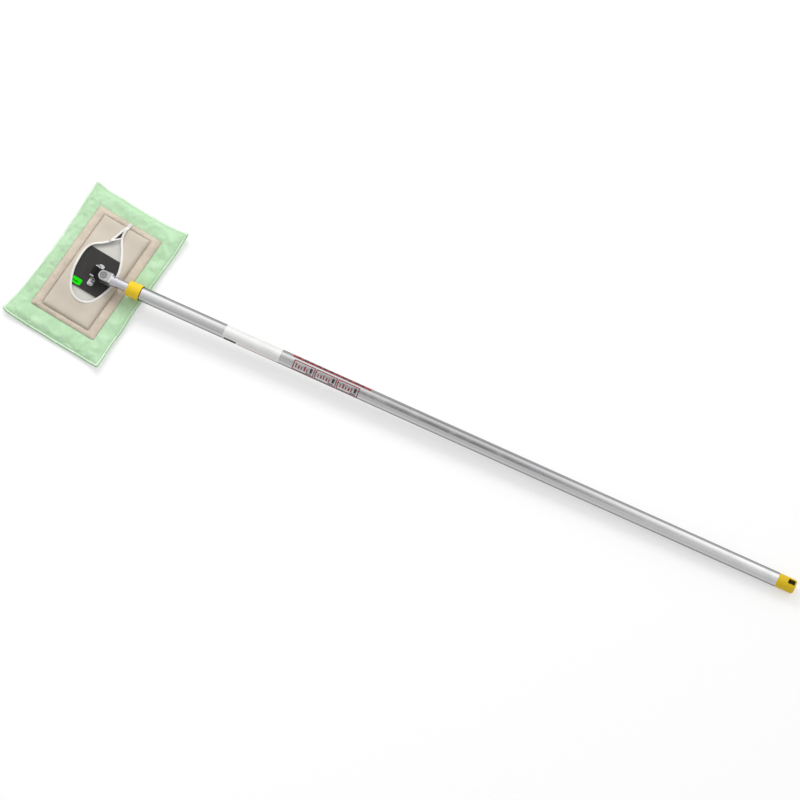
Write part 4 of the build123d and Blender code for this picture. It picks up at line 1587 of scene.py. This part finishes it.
class MOP_OT_joint(bpy.types.Operator):
    """Finish the brackets, screws, knuckle and fork"""

    bl_idname = "mop.joint"
    bl_label = "Joint"

    def execute(self, context):
        hard = context.scene.mop_hard
        chrome = metal_finish("bright plating", hard.chrome, 0.55, rough=0.14, grain_scale=700.0, grain=0.08)
        screw = metal_finish("plain steel", hard.screw, 0.55, rough=0.28, grain_scale=900.0, grain=0.15)
        cast = fork_finish("blasted casting", hard.cast, hard.neck)
        knuckle = moulded_finish(
            "black joint moulding",
            hard.knuckle,
            shaded(hard.knuckle, 1.8, 0.002),
            rough=0.5,
            grain_scale=900.0,
            grain=0.2,
            gloss=0.15,
        )
        pivot = metal_finish("dull plating", hard.pivot, 0.5, rough=0.3, grain_scale=900.0, grain=0.12)
        dress(pivot, "pivot_screw")
        dress(chrome, "bracket_left", "bracket_right", "bracket_screws", "press_stud")
        dress(screw, "bracket_nuts", "hinge_pin", "pin_ring", "pivot_nut", "neck_pin")
        dress(cast, "clevis")
        dress(knuckle, "knuckle")
        return {"FINISHED"}


class MOP_OT_pole(bpy.types.Operator):
    """Finish the pole, its neck, its collar and its cap"""

    bl_idname = "mop.pole"
    bl_label = "Pole"

    def execute(self, context):
        hard = context.scene.mop_hard
        grained = {"grain_scale": 700.0, "grain": 0.14}
        yellow_worn = shaded(hard.yellow, 1.05, 0.004)
        yellow = moulded_finish("yellow moulding", hard.yellow, yellow_worn, rough=0.24, gloss=0.5, **grained)
        # The cap's colour is a darker copy of the collar's yellow: painted shade.
        cap_worn = shaded(hard.cap, 0.9)
        # The walls of the cap's hang slot get painted shade.
        cap = moulded_finish(
            "darker yellow moulding in painted shade", hard.cap, cap_worn, rough=0.34, gloss=0.3, painted_shade=inside_slot, **grained
        )
        dress(yellow, "collar")
        dress(cap, "end_cap")
        dress(pole_finish("drawn aluminium", hard.pole, edge=0.0), "pole_tube")
        dress(pole_finish("satin neck", hard.neck, edge=0.8), "neck_rod")
        # Dark ring at the collar's rim: painted shade of the step down to the pole.
        make_collar_shade_ring(bpy.data.materials["black joint moulding"])
        return {"FINISHED"}


class MOP_OT_print(bpy.types.Operator):
    """Lay the film label and the printed band on the pole"""

    bl_idname = "mop.pole_print"
    bl_label = "Pole print"

    def execute(self, context):
        settings = context.scene.mop_print
        make_film_label(settings, film_finish("milky film", settings.film))
        ink = ink_finish("red ink", settings.ink)
        mark = ink_finish("grey ink", settings.mark)
        make_printed_band(settings, ink, mark)
        return {"FINISHED"}


class MOP_OT_stage(bpy.types.Operator):
    """Set up the floor, the light and the camera"""

    bl_idname = "mop.stage"
    bl_label = "Stage"

    def execute(self, context):
        scene = context.scene
        stage = scene.mop_stage
        scene.view_settings.view_transform = "Standard"
        make_floor(stage)
        make_sky(scene, stage)
        make_key(stage)
        make_camera(scene, stage)
        return {"FINISHED"}


OPERATORS = (
    MOP_OT_wiping_cloth,
    MOP_OT_backing_cloth,
    MOP_OT_pocket,
    MOP_OT_opening,
    MOP_OT_stitching,
    MOP_OT_plates,
    MOP_OT_joint,
    MOP_OT_pole,
    MOP_OT_print,
    MOP_OT_stage,
)


class MOP_PT_sidebar(bpy.types.Panel):
    """Lists the steps that dress the mop"""

    bl_idname = "MOP_PT_sidebar"
    bl_label = "Flat mop"
    bl_space_type = "VIEW_3D"
    bl_region_type = "UI"
    bl_category = "Mop"

    def draw(self, context):
        for operator in OPERATORS:
            self.layout.operator(operator.bl_idname)


SETTINGS = {
    "mop_soft": MopSoftSettings,
    "mop_hard": MopHardSettings,
    "mop_print": MopPrintSettings,
    "mop_stage": MopStageSettings,
}


def register():
    for group in SETTINGS.values():
        bpy.utils.register_class(group)
    for operator in OPERATORS:
        bpy.utils.register_class(operator)
    bpy.utils.register_class(MOP_PT_sidebar)
    for name, group in SETTINGS.items():
        setattr(bpy.types.Scene, name, PointerProperty(type=group))


def unregister():
    for name in SETTINGS:
        delattr(bpy.types.Scene, name)
    bpy.utils.unregister_class(MOP_PT_sidebar)
    for operator in reversed(OPERATORS):
        bpy.utils.unregister_class(operator)
    for group in SETTINGS.values():
        bpy.utils.unregister_class(group)


def main():
    register()
    bpy.ops.mop.wiping_cloth()
    bpy.ops.mop.backing_cloth()
    bpy.ops.mop.pocket()
    bpy.ops.mop.opening()
    bpy.ops.mop.stitching()
    bpy.ops.mop.plates()
    bpy.ops.mop.joint()
    bpy.ops.mop.pole()
    bpy.ops.mop.pole_print()
    bpy.ops.mop.stage()


if __name__ == "__main__":
    main()
